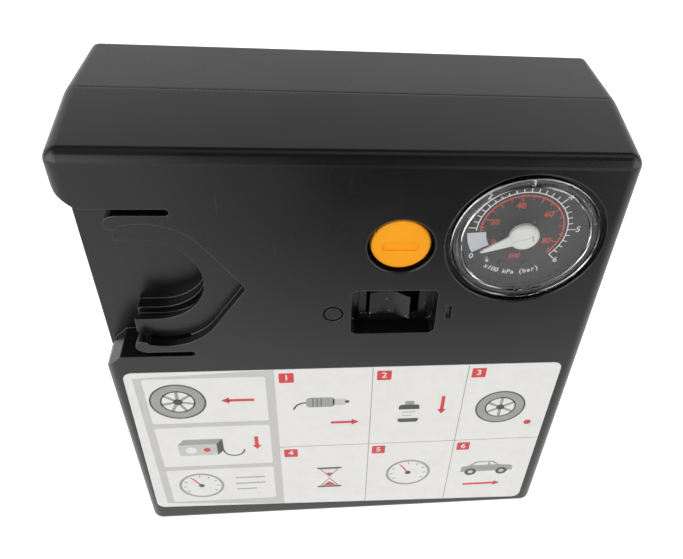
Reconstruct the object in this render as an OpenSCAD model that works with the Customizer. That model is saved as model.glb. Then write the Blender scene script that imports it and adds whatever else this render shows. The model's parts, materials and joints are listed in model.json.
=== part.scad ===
// Portable tyre inflator: a two-shell box with a piston pump, a pressure gauge,
// a release button, a rocker switch and a sideways bottle seat.
// Millimetres. X runs along the width, Y from the front face to the back, Z up.
// The origin is on the ground below the middle of the box.

/* [Body] */
// Width at the seam between the two shells
body_w = 178.6; // [176:0.1:190]
// Height at the seam
body_h = 198.8; // [197:0.1:206]
// Depth of the front shell
front_d = 35; // [35:0.5:38]
// Depth of the rear shell
rear_d = 35; // [35:0.5:40]
// How far the front face is set in from the seam on each side
front_draft = 1.05; // [0.6:0.05:1.5]
// How far the back face is set in from the seam on each side
rear_draft = 1.3; // [0.6:0.05:1.8]
// Wall thickness of both shells
wall = 2.4; // [2:0.1:2.8]
// Radius of the edge round the front face
edge_r = 4.6; // [3.5:0.1:5.5]
// Radius of the corners at the seam
corner_r = 4.2; // [3.5:0.1:5]
// Radius of the edge round the back face
rear_edge_r = 3.2; // [2.5:0.1:4]
// Open line between the two shells
seam_gap = 0.4; // [0.2:0.1:0.6]

/* [Bottle seat] */
// Middle of the seat, below the top edge
seat_down = 53; // [51.8:0.1:54.8]
// Depth of the seat's floor below the front face
seat_floor_d = 14.5; // [13:0.5:16]
// Depth of the pointed step round the seat
shield_d = 4; // [3.5:0.1:4.5]
// Half width of the slot that takes the bottle's neck
neck_r = 17.6; // [17:0.1:18]
// Undercut of the groove that takes the neck's collar
groove_in = 2.8; // [2:0.1:3]
// Width of the slits beside the two snap arms
slit_w = 2.4; // [2:0.1:2.8]

/* [Gauge] */
// Gauge centre, in from the right side
gauge_in = 33.6; // [32.8:0.1:34.3]
// Gauge centre, below the top edge
gauge_down = 33.6; // [32.8:0.1:34.8]
// Radius of the clear lens
lens_r = 25; // [24.5:0.1:25.3]
// Free ring round the lens
lens_gap = 1.8; // [1.5:0.1:2]
// Direction of the pointer at zero, counted anticlockwise from the right
zero_angle = 206; // [200:1:215]
// Sweep of the pointer from zero to full scale
gauge_sweep = 235; // [220:1:250]

/* [Release button] */
// Button centre, to the left of the gauge's
button_left = 41.1; // [40.7:0.1:41.7]
// Button centre, below the gauge's
button_low = 1.8; // [1.2:0.1:2.2]
// Radius of the button's face
button_r = 9.9; // [9.5:0.1:10.2]
// Radius of the hole round the button
button_hole_r = 11.1; // [10.8:0.1:11.3]
// Stroke of the button
button_stroke = 2.5; // [2:0.25:2.5]

/* [Switch] */
// Switch centre, to the left of the gauge's
switch_left = 41.7; // [41.2:0.1:42.2]
// Switch centre, below the gauge's
switch_low = 31.7; // [31.2:0.1:32.2]
// Width of the window over the switch
window_w = 30; // [29:0.5:31]
// Height of the window over the switch
window_h = 21.2; // [21:0.1:22]
// Depth of the window's floor
window_d = 7.5; // [7:0.5:8]
// Full swing of the rocker
rocker_swing = 20; // [16:1:20]

/* [Label] */
// Label's top edge, below the gauge's centre
label_low = 60.8; // [60.2:0.1:61.2]
// Height of the label's bottom right corner
label_base = 5.8; // [5.5:0.1:8]
// How much higher the label's bottom left corner is
label_rise = 6; // [0:0.5:7]
// Thickness of the label
label_t = 0.25; // [0.2:0.05:0.4]

/* [Pump] */
// Crank radius, which is half the piston's stroke
crank_r = 6; // [5:0.5:6]
// Height of the crank shaft
crank_z = 28; // [27.5:0.5:29]
// Depth of the crank shaft behind the front face
crank_d = 26; // [25.5:0.5:27]
// Distance between the rod's two eyes
rod_len = 32; // [31:0.5:33]
// Radius of the cylinder's bore
bore_r = 12.5; // [12.2:0.1:12.8]
// Middle of the rod and cylinder, in from the motor's front face
rod_in = 17; // [17:0.1:17.5]
// Radius of the motor
motor_r = 17.5; // [17:0.1:17.6]
// Length of the motor's can
motor_len = 58; // [54:1:60]

/* [Gears] */
// Tooth module of the pump's gears
gear_module = 0.7; // [0.68:0.01:0.7]
// Teeth of the crank gear
crank_teeth = 60; // [56:2:60]
// Teeth of the motor's pinion
pinion_teeth = 12; // [12:1:13]
// Face width of the crank gear
gear_w = 5; // [4:0.5:5]

/* [Storage bay] */
// Ends of the bay in the back, in from the sides
bay_side = 21.3; // [21.3:0.1:23.3]
// Bay's upper edge, below the top edge
bay_down = 18.8; // [18.8:0.1:22.8]
// Height of the bay
bay_h = 68; // [62:0.5:69]
// Depth of the bay from the back face
bay_d = 24; // [22:0.5:24]

/* [Small parts] */
// Depth of the engraved marks on the face
mark_d = 0.5; // [0.3:0.1:0.8]
// Rubber feet standing out of the back
foot_proud = 2; // [1.5:0.5:3]
// Radial play of shafts in their bores
play = 0.05; // [0.03:0.01:0.08]

/* [Hidden] */
$fn = 64;
tiny = 0.01;
through = 1;

// Body
total_d = front_d + rear_d;
front_y = -(total_d + foot_proud) / 2;
face_w = body_w - 2 * front_draft;
face_h = body_h - front_draft;
back_w = body_w - 2 * rear_draft;
back_h = body_h - rear_draft;
side_x = body_w / 2;
seam_d = front_d + seam_gap;
lip_t = 1.1;
lip_h = 2.4;
lip_play = 0.15;

// Bottle seat, with Z counted from seat_z
seat_z = body_h - seat_down;
seat_mouth_x = 14.3 - side_x;
mouth_corner_x = 7.3 - side_x;
mouth_bevel = 4.8;
neck_x = 21.9 - side_x;
shield_x = 24.3 - side_x;
shield_r = 20.7;
shield_half = 6.5;
shield_tip_x = 50.8 - side_x;
shield_tip_r = 2.3;
groove_front_d = shield_d + 1.5;
groove_back_d = 10;
slit_in = 30.3;
arm_d = 12;
arm_gap = 0.9;
arm_root_x = 32.2 - side_x;
hook_r = 2.4;
hook_x = 16.1 - side_x;
hook_z = 27.2;

// Gauge
gauge_x = side_x - gauge_in;
gauge_z = body_h - gauge_down;
case_r = lens_r + 0.2;
case_wall = 1;
case_front_d = 2.6;
case_back_d = 24;
collar_seat_d = 2.6;
collar_d = 12;
collar_wall = 1.8;
dial_d = 7;
dial_t = 0.6;
hub_r = 5.1;
pointer_len = 15.7;
pointer_front_d = 2.5;
arbor_r = 1;
movement_front_d = 9;
movement_back_d = 16;
movement_t = 1.2;
movement_r = 16.5;
sector_module = 0.5;
sector_teeth = 50;
arbor_teeth = 9;
sector_gap = sector_module * (sector_teeth + arbor_teeth) / 2;
sector_dir = -45;
sector_d = 12.3;
sector_t = 1.4;
sector_cut_teeth = ceil(gauge_sweep * arbor_teeth / 360) + 5;
tube_ring_r = 18.6;
stem_z = gauge_z - tube_ring_r;
stem_out_d = 31;

// Release button
button_x = gauge_x - button_left;
button_z = gauge_z - button_low;
button_face_d = 1.1;
button_skirt_d = 9;
button_wall = 1.6;
button_collar_d = 14;
button_collar_wall = 1.8;
valve_flange_t = 2;
valve_r = 6;
valve_end_d = 28;
valve_bore_r = 2;
valve_chamber_r = 4.2;
valve_chamber_d = 19;
seal_d = 20.5;
seal_t = 2;
valve_chamber_end_d = seal_d + seal_t + 1.5 + button_stroke;
valve_barb_end_d = 33;
spring_r = 6.6;
spring_wire_r = 0.45;
spring_turns = 5;

// Switch
switch_x = gauge_x - switch_left;
switch_z = gauge_z - switch_low;
bezel_w = 24;
bezel_h = 18.6;
bezel_t = 1.5;
switch_open_w = 18.7;
switch_open_h = 11.6;
switch_body_w = 21;
switch_body_h = 17.2;
switch_back_d = 24;
switch_pivot_d = window_d + 3.2;
rocker_half_w = 7.1;
rocker_front = 7.6;
rocker_dip = 2.2;
rocker_back = 4.5;
rocker_h = switch_open_h - 1;
rocker_pin_r = 1.2;
window_floor_t = 2;
off_mark_x = switch_x - 21.2;
on_mark_x = switch_x + 19.5;
mark_r = 3.6;
mark_line = 0.8;
edge_cut = 0.35;
terminal_at = 7;
terminal_w = 4.8;
terminal_t = 0.8;
terminal_end_d = 32;

// Label corners
label_top = gauge_z - label_low;
label_left = 6.3 - side_x;
label_left_lean = 1.4;
label_right = side_x - 7.3;
label_corner_r = 3.5;

// Pump
gear_gap = gear_module * (crank_teeth + pinion_teeth) / 2;
motor_back = 20;
motor_up = sqrt(gear_gap * gear_gap - motor_back * motor_back);
motor_d = crank_d + motor_back;
motor_z = crank_z + motor_up;
mesh_angle = atan2(motor_up, motor_back);
frame_x = -9;
frame_t = 4;
frame_front_d = 9;
frame_back_d = 60;
frame_base_z = 5;
frame_top_z = 51;
flange_t = 4;
flange_z = frame_top_z + flange_t;
flange_right_x = frame_x + 49;
rod_x = frame_x + rod_in;
ear_t = 3;
ear_h = 12;
ear_reach = 17;
grommet_t = 1.5;
grommet_r = 5.5;
pump_boss_r = 4.5;
pump_screw_r = 1.4;
pump_head_r = 3;
pump_head_t = 2;
ear_points = [
    [frame_x - 9, frame_base_z + ear_h / 2],
    [frame_x - 9, frame_top_z - ear_h / 2],
    [flange_right_x - 7, flange_z - ear_h + 4]
];
bush_wall = 1.5;
crank_shaft_r = 2.5;
crank_boss_r = 6.4;
crank_boss_len = 10;
gear_x = frame_x + frame_t + 1.5;
gear_hole_at = 13;
gear_hole_r = 4;
crank_pin_r = 2;
rod_t = 6;
rod_eye_r = 4.6;
rod_shank_w = 5;
clip_t = 0.7;
wrist_pin_r = 1.5;
wrist_pin_len = 9;
wrist_eye_r = 3.2;
wrist_z = crank_z + rod_len;
piston_r = bore_r - play;
piston_bore_r = 10.4;
piston_skirt = 1.5;
piston_head_room = 15.5;
crown_t = 3;
ring_d = 0.8;
ring_h = 1.6;
cylinder_top_z = wrist_z + piston_head_room + crown_t + crank_r + 0.5;
barrel_r = bore_r + 2;
fin_half = 16.5;
fin_t = 1.2;
fin_step = 4;
fin_corner_r = 3;
head_screw_at = 13.4;
head_screw_r = 1.5;
valve_plate_t = 1.5;
reed_t = 0.3;
head_h = 9;
head_cavity_r = 11;
head_cavity_h = 5;
head_z = cylinder_top_z + valve_plate_t;
head_top_z = head_z + head_h;
port_r = 1.6;
port_z = head_z + 3.2;

// Motor
motor_front_x = frame_x;
motor_back_x = motor_front_x - motor_len;
can_t = 1.5;
motor_boss_r = 5;
motor_boss_len = 2;
motor_shaft_r = 1.5;
motor_bush_r = 3.4;
magnet_in_r = 12.9;
core_r = 12.4;
core_x = motor_front_x - 43;
core_len = 30;
commutator_x = motor_back_x + 4;
commutator_len = 5.7;
commutator_r = 4.6;
bell_t = 4;
motor_tab_x = motor_back_x - bell_t - 4;
tab_w = 4.8;
tab_t = 0.8;
brush_at = 8.2;
brush_t = 6.8;
motor_screw_at = 8.5;
motor_screw_r = 1.5;
pinion_x = gear_x - 0.5;
pinion_w = gear_w + 1;

// Air line
tee_x = rod_x + fin_half;
tee_r = 4.5;
tee_len = 22;
tee_barb_r = 2.2;
tee_barb_len = 7;
tube_r = 3.4;
tube_bore_r = tee_barb_r;
tube_grip = 5;
tee_gauge_x = tee_x + 16;
tee_valve_x = tee_x + 6;

// Storage bay
bay_half_w = side_x - bay_side;
bay_high = body_h - bay_down;
bay_low = bay_high - bay_h;
bay_floor_d = total_d - bay_d;
bay_corner_r = 8;
gland_z = bay_low + 12;
gland_in = 12;
hose_x = bay_half_w - gland_in;
cord_x = gland_in - bay_half_w;
gland_nut_r = 7;
hose_bore_r = 3.2;
cord_bore_r = 3;
gland_in_d = bay_floor_d - wall - 6;
gland_out_d = bay_floor_d + 6;

// Housing screws
boss_r = 5.2;
boss_x = body_w / 2 - wall - boss_r - 0.4;
boss_rows = [boss_r + wall + 0.4, 97.5, body_h - wall - boss_r - 1.4];
screw_r = 1.5;
screw_head_r = 3;
screw_head_t = 2.2;
screw_seat_d = front_d + 10;
screw_tip_d = front_d - 14;
counterbore_r = 3.5;

// Feet
foot_r = 5;
foot_sink = 1;
foot_x = bay_half_w - 6;
foot_rows = [16, bay_high + 8.5];

// Cooling slots in the back
slot_first_x = 27.3 - side_x;
slot_step = 6;
slot_z = 44;
slot_w = 2.6;
slot_h = 36;

// Wires
wire_r = 1;
wire_turn_d = bay_floor_d - wall - 4.6;

function depth(d) = front_y + d;

// ---- helpers -------------------------------------------------------------

// Extrudes a shape drawn in X and Z from depth d0 to depth d1
module slab(d0, d1) {
    translate([0, depth(d1), 0]) rotate([90, 0, 0]) linear_extrude(d1 - d0) children();
}

// Extrudes a shape drawn in Y and Z from x0 over a length along X
module slice(x0, len) {
    translate([x0, 0, 0]) rotate([90, 0, 90]) linear_extrude(len) children();
}

// A cylinder along Y at a point in X and Z, from depth d0 to depth d1
module peg(x, z, r, d0, d1) {
    translate([x, depth(d0), z]) rotate([-90, 0, 0]) cylinder(r = r, h = d1 - d0);
}

// A cylinder along X from x0 at a depth and height
module axle(x0, len, d, z, r) {
    translate([x0, depth(d), z]) rotate([0, 90, 0]) cylinder(r = r, h = len);
}

// A body of revolution about Y, with points given as radius and depth
module turned(x, z, points) {
    translate([x, front_y, z]) rotate([-90, 0, 0]) rotate_extrude() polygon(points);
}

// Rounded rectangle with true corner arcs
module round_box2d(w, h, r) {
    square([w - 2 * r, h], center = true);
    square([w, h - 2 * r], center = true);
    for (sx = [-1, 1], sz = [-1, 1])
        translate([sx * (w / 2 - r), sz * (h / 2 - r)]) circle(r);
}

function unit(v) = v / norm(v);
function bezier(p, t) = pow(1 - t, 3) * p[0] + 3 * t * pow(1 - t, 2) * p[1]
    + 3 * t * t * (1 - t) * p[2] + pow(t, 3) * p[3];
function curve(p, steps) = [for (i = [0 : steps]) bezier(p, i / steps)];

// Directions along a path, and a side direction carried from point to point without a twist
function headings(path) = [for (i = [0 : len(path) - 1])
    unit(path[min(i + 1, len(path) - 1)] - path[max(i - 1, 0)])];
function carried(ahead, u, i = 0) = let (v = unit(u - (u * ahead[i]) * ahead[i]))
    concat([v], i + 1 < len(ahead) ? carried(ahead, v, i + 1) : []);

// A round tube swept along a path as one closed polyhedron
module swept(path, r, side, sides = 8) {
    n = len(path);
    ahead = headings(path);
    across = carried(ahead, side);
    rings = [for (i = [0 : n - 1], k = [0 : sides - 1])
        let (a = 360 * k / sides)
        path[i] + r * (cos(a) * across[i] + sin(a) * cross(ahead[i], across[i]))];
    walls = [for (i = [0 : n - 2], k = [0 : sides - 1], half = [0, 1])
        let (a = i * sides + k, b = i * sides + (k + 1) % sides)
        half == 0 ? [a, a + sides, b + sides] : [a, b + sides, b]];
    first = [for (k = [0 : sides - 1]) k];
    last = [for (k = [sides - 1 : -1 : 0]) (n - 1) * sides + k];
    polyhedron(rings, concat(walls, [first, last]), convexity = 6);
}

// Involute gear outline with a tooth centred on +X
function involute(a) = tan(a) - a * PI / 180;
function flank_angle(teeth, r, base_r, slack) =
    90 / teeth - slack + (involute(20) - involute(acos(min(1, base_r / r)))) * 180 / PI;
module gear_outline(m, teeth, slack, first = 0, count = 0) {
    pitch_r = m * teeth / 2;
    base_r = pitch_r * cos(20);
    root_r = pitch_r - 1.25 * m;
    tip_r = pitch_r + 0.95 * m;
    low_r = max(base_r, root_r);
    steps = 3;
    radii = [for (i = [0 : steps]) low_r + (tip_r - low_r) * i / steps];
    last = count > 0 ? first + count - 1 : teeth - 1;
    side = [for (r = radii) [r, flank_angle(teeth, r, base_r, slack)]];
    foot = flank_angle(teeth, low_r, base_r, slack);
    tooth = concat([[root_r, -foot]], [for (s = side) [s[0], -s[1]]],
        [for (i = [steps : -1 : 0]) side[i]], [[root_r, foot]]);
    polygon(concat(count > 0 ? [[0, 0]] : [], [for (i = [first : last], p = tooth)
        let (a = p[1] + 360 * i / teeth) p[0] * [cos(a), sin(a)]]));
}

// ---- shells --------------------------------------------------------------

// Solid between a rounded face and a straight band of the seam's outline.
// skin is how far the whole solid lies inside the outer surface; the hollow's
// hidden edges have fewer facets than the outside, so that the bosses cross them cleanly.
module half_body(w, h, r, skin, face_d, band_d, band_end_d) {
    inner_r = max(r - skin, 1);
    seam_r = max(corner_r - skin, 1);
    sides = skin > 0 ? 8 : 28;
    inward = band_d > face_d ? 1 : -1;
    middle = body_h / 2;
    hull() {
        for (sx = [-1, 1], z = [skin + inner_r, h - skin - inner_r])
            translate([sx * (w / 2 - skin - inner_r), depth(face_d + inward * inner_r), z])
                sphere(inner_r, $fn = sides);
        translate([skin + inner_r - w / 2, depth(min(face_d + inward * inner_r, band_d)), skin])
            cube([w - 2 * skin - 2 * inner_r, abs(band_d - face_d) - inner_r, 1]);
        slab(band_d, band_end_d) translate([0, middle])
            round_box2d(body_w - 2 * skin, body_h - 2 * skin, seam_r, $fn = 32);
    }
}

module front_outer() half_body(face_w, face_h, edge_r, 0, 0, front_d - 1, front_d);

module front_inner() half_body(face_w, face_h, edge_r, wall, wall, front_d - 1, front_d + 1);

module rear_outer() half_body(back_w, back_h, rear_edge_r, 0, total_d, seam_d, seam_d + 1);

// The rear hollow has plain corners at the back, where its screw bosses cross them
module rear_inner() hull() {
    slab(total_d - wall - 1, total_d - wall) translate([0, back_h / 2])
        square([back_w - 2 * wall, back_h - 2 * wall], center = true);
    slab(seam_d - 1, seam_d + 1) translate([0, body_h / 2])
        round_box2d(body_w - 2 * wall, body_h - 2 * wall, corner_r - wall, $fn = 8);
}

// ---- bottle seat outlines, drawn with Z counted from seat_z ----------------

// Points along an arc about a centre, from one angle to another
function arc(x, z, r, from_a, to_a, steps) =
    [for (i = [0 : steps]) let (a = from_a + (to_a - from_a) * i / steps) [x + r * cos(a), z + r * sin(a)]];

// Opening in the side wall, cut off square at left_x
module mouth_outline(grow, left_x) {
    half = slit_in + slit_w + grow;
    bevel_x = mouth_corner_x - mouth_bevel;
    wide = half + mouth_bevel + 2 * max(bevel_x - left_x, 0);
    polygon([
        [seat_mouth_x + grow, -half], [mouth_corner_x, -half], [bevel_x, -half - mouth_bevel],
        [left_x, -wide], [left_x, wide],
        [bevel_x, half + mouth_bevel], [mouth_corner_x, half], [seat_mouth_x + grow, half]
    ]);
}

// Round-ended slot that takes the bottle's neck
module neck_outline(r) {
    polygon(concat([[seat_mouth_x - 1, -r]], arc(neck_x, 0, r, -90, 90, 24), [[seat_mouth_x - 1, r]]));
}

// Angle on a circle about shield_x where it reaches x
function shield_angle(r, x) = acos((x - shield_x) / r);

// Wide round end that narrows to a point; straight sides touch both circles
module shield_outline(grow) {
    r = shield_r + grow;
    tip_r = shield_tip_r + grow;
    side = [shield_tip_x - shield_x, -shield_half];
    touch_a = atan2(side[1], side[0]) + acos((r - tip_r) / norm(side));
    left_a = shield_angle(r, seat_mouth_x - 1);
    polygon(concat(
        arc(shield_x, -shield_half, r, -left_a, -touch_a, 14),
        arc(shield_tip_x, 0, tip_r, -touch_a, touch_a, 6),
        arc(shield_x, shield_half, r, touch_a, left_a, 14)
    ));
}

// One snap arm above the seat, with its hook; the other is its mirror image
module arm_outline() {
    polygon(concat(
        [[arm_root_x + 3, slit_in], [hook_x + 1.5, slit_in], [hook_x - 0.2, slit_in - 0.4]],
        arc(hook_x, hook_z, hook_r, 125, 340, 10),
        arc(shield_x, shield_half, shield_r, 106, shield_angle(shield_r, arm_root_x), 8),
        [[arm_root_x + 3, slit_in - 3]]
    ));
}

// Space in the face that one arm springs in: the slit outside it and the gap inside it
module arm_space_outline() {
    r = shield_r - arm_gap;
    end_r = slit_w / 2;
    polygon(concat(
        arc(shield_x, shield_half, r, shield_angle(r, seat_mouth_x - 1), shield_angle(r, arm_root_x), 10),
        arc(arm_root_x, slit_in + end_r, end_r, -90, 90, 8),
        [[seat_mouth_x - 1, slit_in + slit_w]]
    ));
}

module both_arms() {
    translate([0, 0, seat_z]) children();
    translate([0, 0, seat_z]) mirror([0, 0, 1]) children();
}

module seat_block() {
    translate([0, 0, seat_z]) {
        slab(wall - 1, seat_floor_d + wall) {
            mouth_outline(wall, 1.6 - face_w / 2);
            neck_outline(neck_r + groove_in + wall);
        }
        slab(wall - 1, shield_d + wall) shield_outline(wall);
    }
}

module seat_cuts() {
    translate([0, 0, seat_z]) {
        slab(-through, seat_floor_d) {
            mouth_outline(0, -body_w / 2 - 3);
            neck_outline(neck_r);
        }
        slab(-through, shield_d) shield_outline(0);
        slab(groove_front_d, groove_back_d) neck_outline(neck_r + groove_in);
    }
    both_arms() slab(-through, seat_floor_d + wall + through) arm_space_outline();
}

// ---- shells with their bosses ----------------------------------------------

module at_bosses() {
    for (sx = [-1, 1], z = boss_rows) translate([sx * boss_x, 0, z]) children();
}

// A round hole in the front face with a broken edge
module face_hole(x, z, r, end_d) {
    turned(x, z, [
        [0, -through], [r + edge_cut + through, -through], [r, edge_cut], [r, end_d], [0, end_d]
    ]);
}

module front_cover() color("#2a2b2d") {
    difference() {
        union() {
            difference() {
                front_outer();
                front_inner();
            }
            seat_block();
            at_bosses() peg(0, 0, boss_r - 1, wall - 1, front_d);
            peg(gauge_x, gauge_z, lens_r + lens_gap + collar_wall, wall - 1, collar_d);
            peg(button_x, button_z, button_hole_r + button_collar_wall, wall - 1, button_collar_d);
            slab(wall - 1, window_d + window_floor_t) translate([switch_x, switch_z])
                round_box2d(window_w + 2 * wall, window_h + 2 * wall, 3.5);
            for (p = ear_points) peg(p[0], p[1], pump_boss_r, wall - 1, frame_front_d - grommet_t);
            seam_lip();
        }
        front_marks();
        seat_cuts();
        face_hole(gauge_x, gauge_z, lens_r + lens_gap, collar_seat_d);
        peg(gauge_x, gauge_z, case_r + 0.1, collar_seat_d - tiny, collar_d + through);
        face_hole(button_x, button_z, button_hole_r, button_collar_d + through);
        slab(-through, window_d) translate([switch_x, switch_z]) round_box2d(window_w, window_h, 2.2);
        slab(window_d - tiny, window_d + window_floor_t + through) translate([switch_x, switch_z])
            square([switch_body_w + 0.2, switch_body_h + 0.2], center = true);
        slab(-through, label_t + 0.05) label_outline(0.15);
        at_bosses() peg(0, 0, screw_r, screw_tip_d - 1, front_d + through);
        for (p = ear_points) peg(p[0], p[1], pump_screw_r, wall + 0.6, frame_front_d);
    }
    snap_arms();
}

// The arms grow out of the face past the end of their slits
module snap_arms() both_arms() slab(0, arm_d) arm_outline();

// Tongue inside the seam that lines the two shells up
module seam_lip() {
    w = body_w - 2 * wall + 0.2;
    h = body_h - 2 * wall + 0.2;
    slab(front_d - 4, front_d + lip_h) translate([0, wall + (body_h - 2 * wall) / 2]) difference() {
        round_box2d(w, h, corner_r - wall + 0.6);
        round_box2d(w - 2 * lip_t, h - 2 * lip_t, corner_r - wall + 0.6 - lip_t / 2);
    }
}

// Off ring and on bar, cut into the face beside the switch window
module front_marks() {
    slab(-through, mark_d) {
        translate([off_mark_x, switch_z - 0.2]) difference() {
            circle(mark_r);
            circle(mark_r - mark_line);
        }
        translate([on_mark_x, switch_z - 0.2]) square([2, 1.8 * mark_r], center = true);
    }
}

module bay_outline(grow) {
    w = 2 * bay_half_w + 2 * grow;
    h = bay_high - bay_low + 2 * grow;
    translate([0, (bay_low + bay_high) / 2]) round_box2d(w, h, bay_corner_r + grow);
}

module rear_cover() color("#2a2b2d") {
    difference() {
        union() {
            difference() {
                rear_outer();
                rear_inner();
            }
            slab(bay_floor_d - wall, total_d - wall + 1) bay_outline(wall);
            at_bosses() peg(0, 0, boss_r, front_d, total_d - wall + 1);
            for (sx = [-1, 1], z = foot_rows)
                peg(sx * foot_x, z, foot_r + 2, total_d - wall - 1.6, total_d - wall + 1);
        }
        slab(bay_floor_d, total_d + through) bay_outline(0);
        lip_w = body_w - 2 * wall + 0.2 + 2 * lip_play;
        lip_half = body_h - 2 * wall + 0.2 + 2 * lip_play;
        slab(front_d, front_d + lip_h + 0.4) translate([0, body_h / 2]) difference() {
            round_box2d(lip_w, lip_half, corner_r - wall + 0.6);
            round_box2d(lip_w - 2 * lip_t - 4 * lip_play, lip_half - 2 * lip_t - 4 * lip_play, 1);
        }
        at_bosses() {
            peg(0, 0, screw_r + 0.3, front_d - through, screw_seat_d + tiny);
            peg(0, 0, counterbore_r, screw_seat_d, total_d + through);
        }
        for (sx = [-1, 1], z = foot_rows)
            peg(sx * foot_x, z, foot_r + 0.05, total_d - foot_sink, total_d + through);
        peg(hose_x, gland_z, gland_nut_r - 2, bay_floor_d - wall - through, bay_floor_d + through);
        peg(cord_x, gland_z, gland_nut_r - 2, bay_floor_d - wall - through, bay_floor_d + through);
        for (i = [0 : 7]) slab(total_d - wall - through, total_d + through)
            translate([slot_first_x + slot_step * i, slot_z]) round_box2d(slot_w, slot_h, 1.2);
    }
    bay_lugs();
}

// Small lugs at the bay's rim that hold a wound hose and cord in
module bay_lugs() {
    lug_w = 12;
    lug_reach = 5;
    for (sx = [-1, 1], top = [0, 1])
        slab(total_d - 2.4, total_d - 0.4) translate([sx * 40 - lug_w / 2,
            top == 1 ? bay_high - lug_reach : bay_low - 0.5]) square([lug_w, lug_reach + 0.5]);
}

module label_outline(grow) {
    r = label_corner_r;
    corners = [
        [label_left + r, label_top - r],
        [label_right - r, label_top - r],
        [label_right - r, label_base + r],
        [label_left - label_left_lean + r, label_base + label_rise + r]
    ];
    hull() for (c = corners) translate(c) circle(r + grow, $fn = 32);
}

module instruction_label() color("#e9e8e4") slab(0.05, 0.05 + label_t) label_outline(0);

// ---- release button and valve ------------------------------------------------

module release_button() color("#f7a01c") difference() {
    turned(button_x, button_z, [
        [0, button_face_d], [button_r - 0.8, button_face_d], [button_r - 0.2, button_face_d + 0.3],
        [button_r, button_face_d + 0.9], [button_r, button_skirt_d],
        [button_r - button_wall, button_skirt_d], [button_r - button_wall, button_face_d + 2],
        [0, button_face_d + 2]
    ]);
    slab(button_face_d - through, button_face_d + 0.5) translate([button_x - 0.1, button_z - 0.6])
        round_box2d(12.1, 3.4, 1.2);
}

module valve_stem() color("#c9cbce") {
    peg(button_x, button_z, valve_bore_r - play, button_face_d + 2, seal_d + seal_t + 1);
    peg(button_x, button_z, valve_bore_r + 1.2, seal_d + seal_t, seal_d + seal_t + 1);
    peg(button_x, button_z, spring_r - 1.8, button_face_d + 2, button_face_d + 3.2);
}

module valve_seal() color("#1b1b1b") difference() {
    peg(button_x, button_z, valve_chamber_r - 0.6, seal_d, seal_d + seal_t);
    peg(button_x, button_z, valve_bore_r - play, seal_d - through, seal_d + seal_t + through);
}

module release_valve_body() color("#b99a55") difference() {
    union() {
        peg(button_x, button_z, button_hole_r + button_collar_wall, button_collar_d,
            button_collar_d + valve_flange_t);
        peg(button_x, button_z, valve_r, button_collar_d, valve_end_d);
        peg(button_x, button_z, tee_barb_r, valve_end_d - through, valve_barb_end_d);
    }
    peg(button_x, button_z, valve_bore_r, button_collar_d - through, valve_chamber_d + tiny);
    peg(button_x, button_z, valve_chamber_r, valve_chamber_d, valve_chamber_end_d);
    peg(button_x, button_z, 1.2, valve_chamber_end_d - tiny, valve_barb_end_d + through);
}

module button_spring() color("#b8bbc0") {
    from = button_face_d + 2 + spring_wire_r;
    to = button_collar_d - spring_wire_r;
    steps = spring_turns * 12;
    swept([for (i = [0 : steps]) let (a = 360 * i * spring_turns / steps)
        [button_x + spring_r * cos(a), depth(from + (to - from) * i / steps),
         button_z + spring_r * sin(a)]], spring_wire_r, [0, 1, 0], 6);
}

// ---- rocker switch -----------------------------------------------------------

module at_switch() translate([switch_x, 0, switch_z]) children();

module switch_body() color("#17181a") at_switch() difference() {
    union() {
        slab(window_d - bezel_t, window_d) difference() {
            square([bezel_w, bezel_h], center = true);
            square([switch_open_w, switch_open_h], center = true);
        }
        slab(window_d - tiny, switch_back_d) square([switch_body_w, switch_body_h], center = true);
    }
    slab(window_d - bezel_t - through, switch_pivot_d + rocker_back + rocker_dip)
        square([switch_open_w, switch_open_h], center = true);
    translate([0, depth(switch_pivot_d), -switch_body_h / 2 - through])
        cylinder(r = rocker_pin_r + play, h = switch_body_h + 2 * through);
}

// Drawn about its pivot: two sloping faces that dip to the middle, and a pin at each end
module switch_rocker() color("#202123") at_switch()
    translate([0, depth(switch_pivot_d), 0]) rotate([0, 0, -rocker_swing / 2]) {
        translate([0, 0, -rocker_h / 2]) linear_extrude(rocker_h) polygon([
            [-rocker_half_w, -rocker_front], [-1.5, rocker_dip - rocker_front],
            [1.5, rocker_dip - rocker_front], [rocker_half_w, -rocker_front],
            [rocker_half_w, -1], [4, rocker_back], [-4, rocker_back], [-rocker_half_w, -1]
        ]);
        translate([0, 0, -switch_body_h / 2 + 0.1]) cylinder(r = rocker_pin_r, h = switch_body_h - 0.2);
    }

module switch_terminals() color("#c8b27a") at_switch() {
    for (i = [-1 : 1]) slab(switch_back_d, terminal_end_d) translate([i * terminal_at, 0])
        square([terminal_t, terminal_w], center = true);
}

// ---- pressure gauge ----------------------------------------------------------

module gauge_case() color("#1d1e20") difference() {
    union() {
        peg(gauge_x, gauge_z, case_r, case_front_d, case_back_d);
        peg(gauge_x, gauge_z, lens_r + lens_gap + collar_wall - 0.4, collar_d, collar_d + 1.5);
    }
    peg(gauge_x, gauge_z, case_r - case_wall, case_front_d - through, dial_d + dial_t);
    peg(gauge_x, gauge_z, case_r - case_wall - 1.6, dial_d, case_back_d - case_wall);
    peg(gauge_x, stem_z, 3.2, case_back_d - case_wall - through, case_back_d + through);
}

// Clear cap with a stepped rim
module gauge_lens() color([0.92, 0.95, 0.97, 0.35]) turned(gauge_x, gauge_z, [
    [0, 0.6], [lens_r - 3.6, 0.6], [lens_r - 3.2, 0.1], [lens_r - 2.2, 0.1], [lens_r - 1.9, 0.5],
    [lens_r - 0.9, 0.5], [lens_r - 0.6, 0.2], [lens_r - 0.2, 0.2], [lens_r, 0.4], [lens_r, case_front_d],
    [lens_r - 3.4, case_front_d], [lens_r - 3.8, 1.6], [0, 1.6]
]);

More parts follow.
